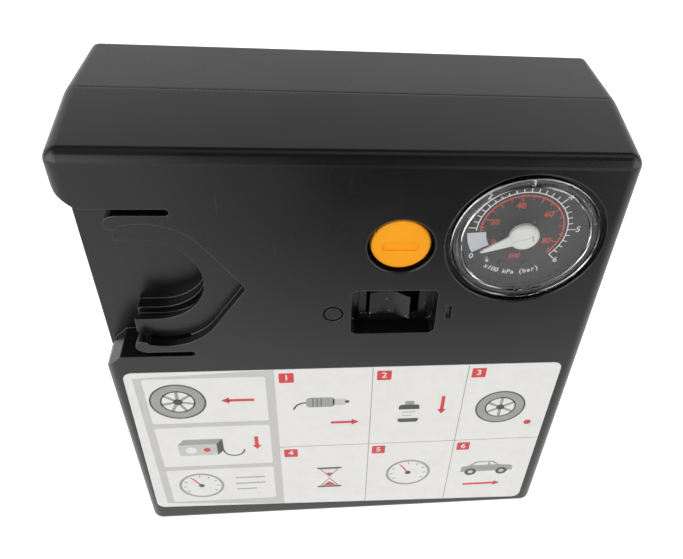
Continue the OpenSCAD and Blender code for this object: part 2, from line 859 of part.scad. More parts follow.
module gauge_dial() color("#222326") difference() {
    peg(gauge_x, gauge_z, case_r - case_wall - 0.1, dial_d, dial_d + dial_t);
    peg(gauge_x, gauge_z, arbor_r + 0.8, dial_d - through, dial_d + dial_t + through);
}

module gauge_pointer() color("#eeeeec") translate([gauge_x, 0, gauge_z]) {
    difference() {
        turned(0, 0, [
            [0, pointer_front_d], [hub_r - 0.8, pointer_front_d], [hub_r, pointer_front_d + 0.6],
            [hub_r, pointer_front_d + 1.9], [0, pointer_front_d + 1.9]
        ]);
        slab(pointer_front_d - through, pointer_front_d + 0.25) translate([0.55 * hub_r, 0])
            square([0.4, 2.4], center = true);
        peg(0, 0, arbor_r, pointer_front_d + 0.6, pointer_front_d + 3);
    }
    slab(pointer_front_d + 0.9, pointer_front_d + 1.5) rotate(zero_angle) polygon([
        [hub_r - 1, -2.2], [pointer_len - 1, -0.5], [pointer_len, 0], [pointer_len - 1, 0.5],
        [hub_r - 1, 2.2]
    ]);
}

module gauge_arbor() color("#c4a95f") translate([gauge_x, 0, gauge_z]) {
    peg(0, 0, arbor_r, pointer_front_d + 0.6, movement_back_d + movement_t);
    slab(sector_d - 0.3, sector_d + sector_t + 0.3) rotate(sector_dir + 180 / arbor_teeth)
        gear_outline(sector_module, arbor_teeth, 1.5);
}

module sector_pivot() {
    translate([gauge_x, 0, gauge_z]) rotate([0, -sector_dir, 0]) translate([sector_gap, 0, 0])
        rotate([0, sector_dir, 0]) children();
}

// Toothed sector on its own arbor; at zero the pinion meshes near its left end
module gauge_sector() color("#c4a95f") sector_pivot() {
    slab(sector_d, sector_d + sector_t) rotate(180 + sector_dir) {
        gear_outline(sector_module, sector_teeth, 0.25, 3 - sector_cut_teeth, sector_cut_teeth);
        circle(2.4);
    }
    peg(0, 0, arbor_r, movement_front_d, movement_back_d + movement_t);
}

module gauge_movement() color("#c9ae63") difference() {
    union() {
        for (d = [movement_front_d, movement_back_d])
            peg(gauge_x, gauge_z, movement_r, d, d + movement_t);
        for (p = [[-8, 9], [9, 11], [-12, -6]])
            peg(gauge_x + p[0], gauge_z + p[1], 1.3, dial_d + dial_t, case_back_d - case_wall);
    }
    peg(gauge_x, gauge_z, arbor_r + play, movement_front_d - through, case_back_d);
    sector_pivot() peg(0, 0, arbor_r + play, movement_front_d - through, case_back_d);
}

// Flat curved tube that straightens under pressure; it is closed at its free end
module bourdon_tube() color("#b08d45") translate([gauge_x, depth(movement_front_d + 4.1), gauge_z])
    rotate([90, 0, 0]) rotate([0, 0, -90]) rotate_extrude(angle = 250)
        translate([tube_ring_r, 0]) square([1.4, 4], center = true);

module gauge_stem() color("#b99a55") difference() {
    union() {
        slab(movement_front_d + 1.6, case_back_d - case_wall)
            translate([gauge_x - 1.6, stem_z - 0.2]) square([6.4, 4.2], center = true);
        peg(gauge_x, stem_z, 3.2, case_back_d - case_wall - tiny, case_back_d + 1);
        peg(gauge_x, stem_z, tee_barb_r, case_back_d, stem_out_d);
    }
    peg(gauge_x, stem_z, 1.1, movement_front_d + 6, stem_out_d + through);
    translate([gauge_x, depth(movement_front_d + 4.1), gauge_z]) rotate([90, 0, 0])
        rotate([0, 0, -90]) rotate_extrude(angle = 60)
            translate([tube_ring_r, 0]) square([1.4, 4], center = true);
}

// ---- pump frame and motor ----------------------------------------------------

module pump_frame() color("#b9bcbf") difference() {
    union() {
        slice(frame_x, frame_t) translate([depth(frame_front_d), frame_base_z])
            square([frame_back_d - frame_front_d, frame_top_z - frame_base_z + tiny]);
        translate([frame_x, depth(frame_front_d), frame_top_z])
            cube([flange_right_x - frame_x, 2 * (crank_d - frame_front_d), flange_t]);
        axle(frame_x - crank_boss_len, crank_boss_len + tiny, crank_d, crank_z, crank_boss_r);
        for (i = [0, 1]) translate([frame_x - ear_reach, depth(frame_front_d), ear_points[i][1] - ear_h / 2])
            cube([ear_reach + tiny, ear_t, ear_h]);
        translate([flange_right_x - 14, depth(frame_front_d), flange_z - ear_h])
            cube([14, ear_t, ear_h]);
    }
    axle(frame_x - crank_boss_len - through, 30, crank_d, crank_z, crank_shaft_r + bush_wall);
    axle(frame_x - through, 10, motor_d, motor_z, motor_boss_r + 0.1);
    translate([rod_x, depth(crank_d), frame_top_z - through]) cylinder(r = barrel_r, h = 10);
    for (p = motor_screw_points())
        axle(frame_x - through, 10, p[0], p[1], motor_screw_r);
    for (sx = [-1, 1], sy = [-1, 1])
        translate([rod_x + sx * head_screw_at, depth(crank_d) + sy * head_screw_at, frame_top_z - through])
            cylinder(r = head_screw_r, h = 10);
    for (p = ear_points)
        peg(p[0], p[1], pump_screw_r + 0.3, frame_front_d - through, frame_front_d + ear_t + through);
}

// The motor's two screws lie in front of and behind its shaft
function motor_screw_points() = [for (s = [-1, 1]) [motor_d + s * motor_screw_at, motor_z]];

module motor_can() color("#8d9094") difference() {
    union() {
        axle(motor_back_x, motor_len, motor_d, motor_z, motor_r);
        axle(motor_front_x - tiny, motor_boss_len, motor_d, motor_z, motor_boss_r);
    }
    axle(motor_back_x - through, motor_len - can_t + through, motor_d, motor_z, motor_r - can_t);
    axle(motor_front_x - 4, 10, motor_d, motor_z, motor_bush_r);
    for (p = motor_screw_points()) axle(motor_front_x - 4, 10, p[0], p[1], motor_screw_r);
}

module motor_bushes() color("#a3773f") {
    for (x = [motor_front_x - can_t, motor_back_x - bell_t + 0.5])
        difference() {
            axle(x, 3.5, motor_d, motor_z, motor_bush_r);
            axle(x - through, 6, motor_d, motor_z, motor_shaft_r + play);
        }
}

module motor_magnets() color("#3b3c40") {
    for (side = [0, 180]) translate([core_x - 2, depth(motor_d), motor_z]) rotate([0, 90, 0])
        rotate([0, 0, side + 20]) rotate_extrude(angle = 140)
            translate([magnet_in_r, 0]) square([motor_r - can_t - 0.1 - magnet_in_r, core_len + 4]);
}

module motor_end_bell() color("#26282b") difference() {
    union() {
        axle(motor_back_x - bell_t, bell_t, motor_d, motor_z, motor_r);
        axle(motor_back_x - bell_t, bell_t + 1.6, motor_d, motor_z, motor_r - can_t - 0.1);
    }
    axle(motor_back_x - bell_t + 0.5, 10, motor_d, motor_z, motor_bush_r);
    axle(motor_back_x - bell_t - through, 10, motor_d, motor_z, motor_shaft_r + 0.5);
    axle(motor_back_x - 1, 10, motor_d, motor_z, motor_r - can_t - 2);
    brush_tabs(0.05);
}

// Two brush holders with their carbon blocks and solder tabs
module motor_brushes() color("#b98b52") {
    for (s = [-1, 1])
        translate([motor_back_x - 1, depth(motor_d) - 2.5, motor_z + s * brush_at - brush_t / 2])
            cube([10, 5, brush_t]);
    brush_tabs(0);
}

module brush_tabs(grow) {
    for (s = [-1, 1])
        translate([motor_tab_x, depth(motor_d) - tab_w / 2 - grow, motor_z + s * brush_at - tab_t / 2 - grow])
            cube([motor_back_x - 1 + tiny - motor_tab_x, tab_w + 2 * grow, tab_t + 2 * grow]);
}

module motor_shaft() color("#d5d7da")
    axle(motor_back_x - bell_t + 0.6, pinion_x + pinion_w - motor_back_x + bell_t - 0.6, motor_d, motor_z,
        motor_shaft_r);

// Five-pole laminated core
module armature() color("#70747a") difference() {
    axle(core_x, core_len, motor_d, motor_z, core_r);
    axle(core_x - through, core_len + 2 * through, motor_d, motor_z, motor_shaft_r);
    for (k = [0 : 4]) translate([core_x - through, depth(motor_d), motor_z]) rotate([36 + 72 * k, 0, 0])
        translate([0, 5, -2.4]) cube([core_len + 2 * through, 5, 4.8]);
    for (k = [0 : 4]) translate([core_x - through, depth(motor_d), motor_z]) rotate([36 + 72 * k, 0, 0])
        translate([0, 9, -1]) cube([core_len + 2 * through, 5, 2]);
}

module armature_windings() color("#b5652b") {
    for (x = [core_x - 5, core_x + core_len]) difference() {
        axle(x, 5, motor_d, motor_z, 9.6);
        axle(x - through, 8, motor_d, motor_z, motor_shaft_r + 1);
    }
}

module commutator() color("#b0764a") difference() {
    axle(commutator_x, commutator_len, motor_d, motor_z, commutator_r);
    axle(commutator_x - through, 12, motor_d, motor_z, motor_shaft_r);
}

module motor_pinion() color("#c9a24d") difference() {
    slice(pinion_x, pinion_w) translate([depth(motor_d), motor_z])
        rotate(mesh_angle + 180 + 180 / pinion_teeth) gear_outline(gear_module, pinion_teeth, 0.9);
    axle(pinion_x - through, 12, motor_d, motor_z, motor_shaft_r);
}

// ---- crank, rod and piston -----------------------------------------------------

module crank_gear() color("#d9d6cc") difference() {
    union() {
        slice(gear_x, gear_w) translate([depth(crank_d), crank_z])
            rotate(mesh_angle) gear_outline(gear_module, crank_teeth, 0.2);
        axle(gear_x - 1.1, 1.2, crank_d, crank_z, 5);
        axle(gear_x, rod_x - rod_t / 2 - gear_x - 0.2, crank_d, crank_z + crank_r, rod_eye_r);
        slice(gear_x + gear_w - tiny, 1.4) translate([depth(crank_d), crank_z]) intersection() {
            difference() {
                circle(18);
                circle(11);
            }
            translate([-20, -20]) square([40, 15]);
        }
    }
    axle(gear_x - 5, gear_w + 2, crank_d, crank_z, crank_shaft_r);
    axle(gear_x + 1, 20, crank_d, crank_z + crank_r, crank_pin_r);
    for (a = [30, 150]) axle(gear_x - through, gear_w + 4,
        crank_d + gear_hole_at * cos(a), crank_z + gear_hole_at * sin(a), gear_hole_r);
}

module crank_shaft() color("#d5d7da") {
    left_x = frame_x - crank_boss_len - 2;
    axle(left_x, gear_x + gear_w - 3 - left_x, crank_d, crank_z, crank_shaft_r);
    axle(left_x + 0.4, clip_t, crank_d, crank_z, crank_shaft_r + 1.6);
}

module crank_bush() color("#a3773f") difference() {
    axle(frame_x - crank_boss_len, crank_boss_len + frame_t, crank_d, crank_z, crank_shaft_r + bush_wall);
    axle(frame_x - crank_boss_len - through, 30, crank_d, crank_z, crank_shaft_r + play);
}

module crank_pin() color("#d5d7da") {
    right_x = rod_x + rod_t / 2 + 1.8;
    axle(gear_x + 1, right_x - gear_x - 1, crank_d, crank_z + crank_r, crank_pin_r);
    axle(rod_x + rod_t / 2 + 0.4, clip_t, crank_d, crank_z + crank_r, crank_pin_r + 1.5);
}

module connecting_rod() color("#c3c6c9") difference() {
    union() {
        axle(rod_x - rod_t / 2, rod_t, crank_d, crank_z + crank_r, rod_eye_r);
        axle(rod_x - rod_t / 2, rod_t, crank_d, wrist_z + crank_r, wrist_eye_r);
        translate([rod_x - rod_t / 2 + 1, depth(crank_d) - rod_shank_w / 2, crank_z + crank_r])
            cube([rod_t - 2, rod_shank_w, rod_len]);
    }
    axle(rod_x - rod_t, 2 * rod_t, crank_d, crank_z + crank_r, crank_pin_r + play);
    axle(rod_x - rod_t, 2 * rod_t, crank_d, wrist_z + crank_r, wrist_pin_r);
}

module wrist_pin() color("#d5d7da")
    axle(rod_x - wrist_pin_len / 2, wrist_pin_len, crank_d, wrist_z + crank_r, wrist_pin_r);

// The piston is drawn at the top of its stroke, as the crank is
module at_piston(lift) translate([rod_x, depth(crank_d), wrist_z + crank_r + lift]) children();

module piston() color("#aeb2b6") difference() {
    at_piston(-piston_skirt) cylinder(r = piston_r, h = piston_skirt + piston_head_room + crown_t);
    at_piston(-piston_skirt - through)
        cylinder(r = piston_bore_r, h = piston_skirt + piston_head_room + through);
    at_piston(piston_head_room - 3) difference() {
        cylinder(r = bore_r + 1, h = ring_h);
        translate([0, 0, -through]) cylinder(r = piston_r - ring_d, h = ring_h + 2 * through);
    }
    at_piston(piston_head_room - through) translate([5, 0, 0]) cylinder(r = 1.5, h = 10);
}

module piston_ring() color("#e8e4d8") at_piston(piston_head_room - 3) difference() {
    cylinder(r = bore_r - 0.02, h = ring_h);
    translate([0, 0, -through]) cylinder(r = piston_r - ring_d, h = ring_h + 2 * through);
}

module fin_plate(z, t) {
    translate([rod_x, depth(crank_d), z]) linear_extrude(t)
        round_box2d(2 * fin_half, 2 * fin_half, fin_corner_r);
}

module cylinder_block() {
    fin_plate(flange_z, 3);
    translate([rod_x, depth(crank_d), frame_top_z]) cylinder(r = barrel_r, h = cylinder_top_z - frame_top_z);
    for (z = [flange_z + 6 : fin_step : cylinder_top_z - 5]) fin_plate(z, fin_t);
    fin_plate(cylinder_top_z - 3, 3);
}

module head_screw_holes(z0, z1, r) {
    for (sx = [-1, 1], sy = [-1, 1])
        translate([rod_x + sx * head_screw_at, depth(crank_d) + sy * head_screw_at, z0])
            cylinder(r = r, h = z1 - z0);
}

module pump_cylinder() color("#b3b7bb") difference() {
    cylinder_block();
    translate([rod_x, depth(crank_d), frame_top_z - through]) cylinder(r = bore_r, h = 60);
    head_screw_holes(flange_z - through, cylinder_top_z + through, head_screw_r);
}

module valve_plate() color("#9a9da1") difference() {
    fin_plate(cylinder_top_z, valve_plate_t);
    translate([rod_x, depth(crank_d) - 4, cylinder_top_z - through]) cylinder(r = 1.8, h = 5);
    head_screw_holes(cylinder_top_z - through, head_z + through, head_screw_r);
}

// Spring steel leaf over the outlet port, held by one rivet
module outlet_reed() color("#d9dbde") {
    translate([rod_x - 2.4, depth(crank_d) - 7, head_z]) cube([4.8, 14, reed_t]);
    translate([rod_x, depth(crank_d) + 4.6, head_z + reed_t]) cylinder(r = 1.5, h = 1);
}

module cylinder_head() color("#aeb2b6") difference() {
    fin_plate(head_z, head_h);
    translate([rod_x, depth(crank_d), head_z - through])
        cylinder(r = head_cavity_r, h = head_cavity_h + through);
    axle(rod_x, fin_half + through, crank_d, port_z, port_r);
    for (i = [-1 : 1]) translate([rod_x - fin_half - through, depth(crank_d) + 8 * i - 1, head_z + 6.5])
        cube([2 * fin_half + 2 * through, 2, 5]);
    head_screw_holes(head_z - through, head_top_z + through, head_screw_r);
}

module head_screws() color("#cfd1d4") {
    head_screw_holes(frame_top_z, head_top_z + tiny, head_screw_r);
    head_screw_holes(head_top_z, head_top_z + 2, head_screw_r + 1.3);
}

module motor_screws() color("#cfd1d4") {
    for (p = motor_screw_points()) {
        axle(motor_front_x - can_t, can_t + frame_t + tiny, p[0], p[1], motor_screw_r);
        axle(frame_x + frame_t, 1, p[0], p[1], motor_screw_r + 1);
    }
}

module pump_grommets() color("#1a1a1a") {
    for (p = ear_points) difference() {
        peg(p[0], p[1], grommet_r, frame_front_d - grommet_t, frame_front_d);
        peg(p[0], p[1], pump_screw_r, frame_front_d - grommet_t - through, frame_front_d + through);
    }
}

module pump_screws() color("#cfd1d4") {
    seat = frame_front_d + ear_t;
    for (p = ear_points) {
        peg(p[0], p[1], pump_screw_r, wall + 1, seat + tiny);
        peg(p[0], p[1], pump_head_r, seat, seat + pump_head_t);
    }
}

module housing_screws() color("#8f9296") {
    at_bosses() {
        peg(0, 0, screw_r, screw_tip_d, screw_seat_d + tiny);
        difference() {
            peg(0, 0, screw_head_r, screw_seat_d, screw_seat_d + screw_head_t);
            slab(screw_seat_d + 1, screw_seat_d + 4) {
                square([4, 0.9], center = true);
                square([0.9, 4], center = true);
            }
        }
    }
}

// ---- air line ------------------------------------------------------------------

module barb_up(x) {
    translate([x, depth(crank_d), port_z]) cylinder(r = tee_barb_r, h = tee_r + tee_barb_len);
}

module air_tee() color("#b99a55") difference() {
    union() {
        axle(tee_x, tee_len, crank_d, port_z, tee_r);
        axle(tee_x + tee_len - tiny, tee_barb_len, crank_d, port_z, tee_barb_r);
        barb_up(tee_valve_x);
        barb_up(tee_gauge_x);
    }
    axle(tee_x - through, tee_len + tee_barb_len + 2 * through, crank_d, port_z, 1.1);
    for (x = [tee_valve_x, tee_gauge_x])
        translate([x, depth(crank_d), port_z]) cylinder(r = 1.1, h = 20);
}

barb_top_z = port_z + tee_r + tee_barb_len;

// A hose between two barbs, bored at both ends over the barb's length
module hose_line(from, from_dir, to, to_dir, pull, steps, side) color("#2c2c2e") difference() {
    swept(concat([from], curve([from + 5 * from_dir, from + pull[0] * from_dir,
        to + pull[1] * to_dir, to + 5 * to_dir], steps), [to]), tube_r, side, 8);
    for (e = [[from, from_dir], [to, to_dir]]) translate(e[0]) {
        if (e[1][2] != 0) translate([0, 0, -through]) cylinder(r = tube_bore_r, h = tube_grip + through);
        if (e[1][1] != 0) translate([0, -through, 0]) rotate([-90, 0, 0])
            cylinder(r = tube_bore_r, h = tube_grip);
        if (e[1][0] != 0) translate([-through, 0, 0]) rotate([0, 90, 0])
            cylinder(r = tube_bore_r, h = tube_grip + through);
    }
}

module gauge_tube() hose_line([tee_gauge_x, depth(crank_d), barb_top_z - tube_grip], [0, 0, 1],
    [gauge_x, depth(stem_out_d - tube_grip + through), stem_z], [0, 1, 0], [26, 14], 12, [1, 0, 0]);

module valve_tube() hose_line([tee_valve_x, depth(crank_d), barb_top_z - tube_grip], [0, 0, 1],
    [button_x, depth(valve_barb_end_d - tube_grip + through), button_z], [0, 1, 0], [60, 14], 14, [1, 0, 0]);

module outlet_tube() hose_line(
    [tee_x + tee_len + tee_barb_len - tube_grip, depth(crank_d), port_z], [1, 0, 0],
    [hose_x, depth(gland_in_d - 6), gland_z], [0, -1, 0], [22, 16], 12, [0, 0, 1]);

// Gland with a nut on the bay's floor and a barb inside
module gland(x, bore, barb) {
    difference() {
        union() {
            peg(x, gland_z, gland_nut_r - 2, bay_floor_d - wall - 1, bay_floor_d + tiny);
            translate([x, depth(bay_floor_d), gland_z]) rotate([-90, 0, 0])
                cylinder(r = gland_nut_r, h = gland_out_d - bay_floor_d, $fn = 6);
            translate([x, depth(gland_in_d), gland_z]) rotate([-90, 0, 0])
                cylinder(r = gland_nut_r, h = bay_floor_d - wall - gland_in_d, $fn = 6);
            if (barb) peg(x, gland_z, tee_barb_r, gland_in_d - 6, gland_in_d + tiny);
        }
        peg(x, gland_z, bore, gland_in_d + 2, gland_out_d + through);
        peg(x, gland_z, 1.2, gland_in_d - 7, gland_in_d + 3);
    }
}

module hose_gland() color("#b99a55") gland(hose_x, hose_bore_r, true);

module cord_gland() color("#1f2022") gland(cord_x, cord_bore_r, false);

// ---- wiring ----------------------------------------------------------------------

// An insulated wire that leaves both its ends straight
module lead(from, from_dir, bend1, bend2, to, to_dir, side) {
    swept(concat([from], curve([from + 1.5 * from_dir, bend1, bend2, to + 1.5 * to_dir], 14), [to]),
        wire_r, side, 8);
}

module supply_leads() color("#b3262a") {
    for (i = [0, 1]) {
        start_x = cord_x + (2 * i - 1) * 1.3;
        end_x = switch_x + (2 * i - 1) * terminal_at;
        lead([start_x, depth(gland_in_d), gland_z], [0, -1, 0],
            [start_x, depth(gland_in_d - 14), gland_z + 6 - 12 * i],
            [end_x - 12, depth(wire_turn_d + 2), switch_z + 12 - 9 * i],
            [end_x, depth(terminal_end_d), switch_z + 1.2], [0, 1, 0], [0, 0, 1]);
    }
}

// Each lead runs up from the end of its tab; the two lie side by side
module motor_leads() color("#1c1c1e") {
    for (s = [-1, 1]) {
        start_x = motor_tab_x - wire_r;
        start_d = motor_d + s * (wire_r + 0.2);
        end_x = switch_x + (1 + s) * terminal_at / 2;
        end_z = switch_z - 1.2;
        lead([start_x, depth(start_d), motor_z + s * brush_at - tab_t], [0, 0, 1],
            [start_x - 10, depth(start_d), end_z - 37],
            [end_x - 20, depth(wire_turn_d + 1.5 * s), end_z - 8 + 3 * s],
            [end_x, depth(terminal_end_d), end_z], [0, 1, 0], [0, 1, 0.2]);
    }
}

// Noise filter capacitor with a leg on each of the motor's tabs
module suppressor() color("#c79a3c") {
    disc_x = motor_tab_x - 1.4;
    face_y = depth(motor_d) - tab_w / 2;
    leg_r = 0.4;
    translate([disc_x, face_y, motor_z]) rotate([90, 0, 0]) cylinder(r = 5, h = 3);
    for (s = [-1, 1]) translate([disc_x + 3, face_y - leg_r, motor_z + s * (brush_at / 2 + 2)])
        cylinder(r = leg_r, h = brush_at - 3, center = true);
}

module rubber_feet() color("#161617") {
    for (sx = [-1, 1], z = foot_rows) turned(sx * foot_x, z, [
        [0, total_d - foot_sink], [foot_r, total_d - foot_sink],
        [foot_r, total_d + foot_proud - 0.5], [foot_r - 0.5, total_d + foot_proud],
        [0, total_d + foot_proud]
    ]);
}

front_cover();
rear_cover();
instruction_label();
release_button();
button_spring();
release_valve_body();
valve_stem();
valve_seal();
switch_body();
switch_rocker();
switch_terminals();
gauge_case();
gauge_lens();
gauge_dial();
gauge_pointer();
gauge_arbor();
gauge_sector();
gauge_movement();
bourdon_tube();
gauge_stem();
pump_frame();
motor_can();
motor_magnets();
motor_end_bell();
motor_brushes();
motor_bushes();
armature();
armature_windings();
commutator();
motor_shaft();
motor_pinion();
crank_gear();
crank_shaft();
crank_bush();
crank_pin();
connecting_rod();
wrist_pin();
piston();
piston_ring();
pump_cylinder();
valve_plate();
outlet_reed();
cylinder_head();
head_screws();
motor_screws();
pump_screws();
pump_grommets();
housing_screws();
air_tee();
gauge_tube();
valve_tube();
outlet_tube();
hose_gland();
cord_gland();
supply_leads();
motor_leads();
suppressor();
rubber_feet();
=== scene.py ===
import json
import math

import bmesh
import bpy
from mathutils import Matrix, Vector


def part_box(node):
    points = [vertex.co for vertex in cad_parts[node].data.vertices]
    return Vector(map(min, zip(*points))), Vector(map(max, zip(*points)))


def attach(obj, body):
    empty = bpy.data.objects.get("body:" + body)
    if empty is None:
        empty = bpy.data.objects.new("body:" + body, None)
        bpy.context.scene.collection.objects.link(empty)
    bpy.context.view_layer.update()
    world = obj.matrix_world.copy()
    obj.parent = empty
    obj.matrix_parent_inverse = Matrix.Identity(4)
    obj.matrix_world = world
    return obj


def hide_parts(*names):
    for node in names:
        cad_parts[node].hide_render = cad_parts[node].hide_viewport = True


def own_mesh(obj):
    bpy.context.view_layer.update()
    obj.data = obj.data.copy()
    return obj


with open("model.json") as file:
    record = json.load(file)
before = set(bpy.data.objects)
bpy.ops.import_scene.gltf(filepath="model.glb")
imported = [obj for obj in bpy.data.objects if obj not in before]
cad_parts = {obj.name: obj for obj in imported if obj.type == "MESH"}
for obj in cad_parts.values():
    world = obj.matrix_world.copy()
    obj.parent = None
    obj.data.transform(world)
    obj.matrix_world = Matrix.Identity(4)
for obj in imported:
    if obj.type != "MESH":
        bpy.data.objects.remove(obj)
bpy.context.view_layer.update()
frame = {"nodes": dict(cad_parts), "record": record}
millimetre = 0.001
weldDistance = 1e-7
print("frame loaded:", len(frame["nodes"]), "nodes")


# camera: a fixed view from above the front, a little to the left
view = {
    "position": (-0.011618, -0.213772, 0.314631),
    "right": (0.99129, -0.10335, 0.08163),
    "down": (-0.01219, -0.68914, -0.72452),
    "forward": (0.13113, 0.71722, -0.68440),
    "focalPixels": 726.77,
    "axisPixel": (416.145, 288.809),
    "imagePixels": (683, 559),
    "sensorWidth": 36,
    "nearest": 0.01,
}


def addCamera():
    data = bpy.data.cameras.new("camera")
    camera = bpy.data.objects.new("camera", data)
    right, down, forward = (Vector(view[key]) for key in ("right", "down", "forward"))
    turned = Matrix((right, -down, -forward)).transposed().to_4x4()
    camera.matrix_world = Matrix.Translation(view["position"]) @ turned
    width, height = view["imagePixels"]
    data.sensor_fit = "HORIZONTAL"
    data.sensor_width = view["sensorWidth"]
    data.lens = view["focalPixels"] * view["sensorWidth"] / width
    data.shift_x = (width / 2 - view["axisPixel"][0]) / width
    data.shift_y = (view["axisPixel"][1] - height / 2) / width
    data.clip_start = view["nearest"]
    bpy.context.scene.collection.objects.link(camera)
    bpy.context.scene.camera = camera


addCamera()
print("camera placed")


# shader graphs: Wire does sums on sockets, Graph adds every other node
class Wire:
    def __init__(self, graph, socket):
        self.graph = graph
        self.socket = socket

    def sum(self, operation, first, second):
        made = self.graph.node("ShaderNodeMath", {"operation": operation}, {0: first, 1: second})
        return Wire(self.graph, made.outputs[0])

    def __add__(self, other):
        return self.sum("ADD", self, other)

    def __sub__(self, other):
        return self.sum("SUBTRACT", self, other)

    def __rsub__(self, other):
        return self.sum("SUBTRACT", other, self)

    def __mul__(self, other):
        return self.sum("MULTIPLY", self, other)

    def __gt__(self, other):
        return self.sum("GREATER_THAN", self, other)

    def __lt__(self, other):
        return self.sum("LESS_THAN", self, other)

    def __abs__(self):
        return self.sum("ABSOLUTE", self, 0)

    def atLeast(self, other):
        return self.sum("MAXIMUM", self, other)

    def root(self):
        return self.sum("SQRT", self, 0)

    def angleFrom(self, other):
        return self.sum("ARCTAN2", self, other)


# habits that every finish shares
graphLook = {
    "noiseRoughness": 0.55, "leastSpeck": 0.3,
    # the edge mask leans to ledges that face up, for a painted highlight
    "bevelSamples": 6, "edgeAlike": (0.975, 0.78), "highlightTilt": (0.0, 0.6), "highlightShare": (0.3, 1.0),
    "hairScale": 22.0, "hairLevel": (0.735, 0.75),
}


class Graph:
    def __init__(self, holder, coordinates):
        # holder is a new material or world
        holder.use_nodes = True
        self.holder = holder
        self.tree = holder.node_tree
        self.tree.nodes.clear()
        self.spot = self.node("ShaderNodeTexCoord").outputs[coordinates]

    def node(self, kind, settings=None, sockets=None):
        made = self.tree.nodes.new(kind)
        for key, value in (settings or {}).items():
            setattr(made, key, value)
        for key, value in (sockets or {}).items():
            self.feed(made.inputs[key], value)
        return made

    def feed(self, socket, value):
        value = value.socket if isinstance(value, Wire) else value
        if isinstance(value, bpy.types.NodeSocket):
            self.tree.links.new(value, socket)
        else:
            socket.default_value = value

    def stretched(self, scale, turn=(0, 0, 0)):
        sockets = {"Vector": self.spot, "Rotation": turn, "Scale": scale}
        return self.node("ShaderNodeMapping", {}, sockets).outputs["Vector"]

    def noise(self, scale, detail=2.0, vector=None):
        made = self.node("ShaderNodeTexNoise", {}, {
            "Vector": vector or self.spot, "Scale": scale, "Detail": detail,
            "Roughness": graphLook["noiseRoughness"]})
        return Wire(self, made.outputs["Fac"])

    def ramp(self, value, low, high, start=0.0, end=1.0, kind="SMOOTHSTEP"):
        made = self.node("ShaderNodeMapRange", {"interpolation_type": kind}, {
            "Value": value, "From Min": low, "From Max": high, "To Min": start, "To Max": end})
        return Wire(self, made.outputs["Result"])

    def specks(self, scale, radius, share):
        # small round dots, in a share of the cells of a scattered pattern
        cells = self.node("ShaderNodeTexVoronoi", {}, {"Vector": self.spot, "Scale": scale})
        dice = self.node("ShaderNodeSeparateColor", {}, {"Color": cells.outputs["Color"]})
        chosen = Wire(self, dice.outputs["Red"]) < share
        size = Wire(self, dice.outputs["Green"]) * radius + graphLook["leastSpeck"] * radius
        return chosen * (Wire(self, cells.outputs["Distance"]) < size)

    def hairs(self, stretch, turn):
        # a few fine scratches along one direction
        streaks = self.noise(graphLook["hairScale"], vector=self.stretched(stretch, turn))
        return self.ramp(streaks, *graphLook["hairLevel"])

    def blend(self, mask, first, second):
        made = self.node("ShaderNodeMix", {"data_type": "RGBA"}, {0: mask, 6: first, 7: second})
        return made.outputs[2]

    def edges(self, radius):
        # rounded normals near sharp edges, and a mask of where they differ from the flat ones,
        # stronger on ledges that face up, where light from above falls; it carries a painted highlight
        samples = {"samples": graphLook["bevelSamples"]}
        bevel = self.node("ShaderNodeBevel", samples, {"Radius": radius}).outputs["Normal"]
        flat = self.node("ShaderNodeNewGeometry").outputs["Normal"]
        alike = self.node("ShaderNodeVectorMath", {"operation": "DOT_PRODUCT"}, {0: bevel, 1: flat})
        lean = self.node("ShaderNodeSeparateXYZ", {}, {"Vector": bevel})
        facingLight = self.ramp(lean.outputs["Z"], *graphLook["highlightTilt"], *graphLook["highlightShare"])
        return bevel, self.ramp(alike.outputs["Value"], *graphLook["edgeAlike"]) * facingLight

    def bump(self, height, depth, normal=None):
        sockets = {"Strength": 1.0, "Distance": depth, "Height": height}
        if normal:
            sockets["Normal"] = normal
        return self.node("ShaderNodeBump", {}, sockets).outputs["Normal"]

    def surface(self, sockets):
        shader = self.node("ShaderNodeBsdfPrincipled", {}, sockets)
        self.node("ShaderNodeOutputMaterial", {}, {"Surface": shader.outputs["BSDF"]})
        return self.holder


plasticIndex = 1.49


def newFinish(name):
    return Graph(bpy.data.materials.new(name), "Object")


def mouldedPlastic(name, look):
    # spark-eroded moulding: fine grain, cloudy gloss, painted edge highlights, some dust and hair scratches
    finish = newFinish(name)
    bevel, edge = finish.edges(look["edgeRadius"])
    grain = finish.noise(look["grainScale"], detail=3.0)
    cloud = finish.ramp(finish.noise(look["cloudScale"], detail=4.0), *look["cloudLevel"])
    dust = finish.specks(look["dustScale"], look["dustRadius"], look["dustShare"])
    scratch = finish.hairs(look["hairStretch"], look["hairTurn"])
    soiled = dust * look["dustStrength"] + scratch * look["scratchStrength"]
    colour = finish.blend(cloud, look["colour"], look["cloudColour"])
    # painted highlight: a lighter colour along edges, most on ledges that face up
    colour = finish.blend(edge * look["edgeHighlightStrength"], colour, look["edgeHighlightColour"])
    colour = finish.blend(soiled, colour, look["dustColour"])
    rough = cloud * look["cloudGloss"] + look["roughness"] - edge * look["edgeGloss"]
    return finish.surface({
        "Base Color": colour,
        "Roughness": rough + grain * look["grainGloss"],
        "IOR": plasticIndex,
        "Specular IOR Level": look["sheen"],
        "Normal": finish.bump(grain, look["grainDepth"], bevel),
    })


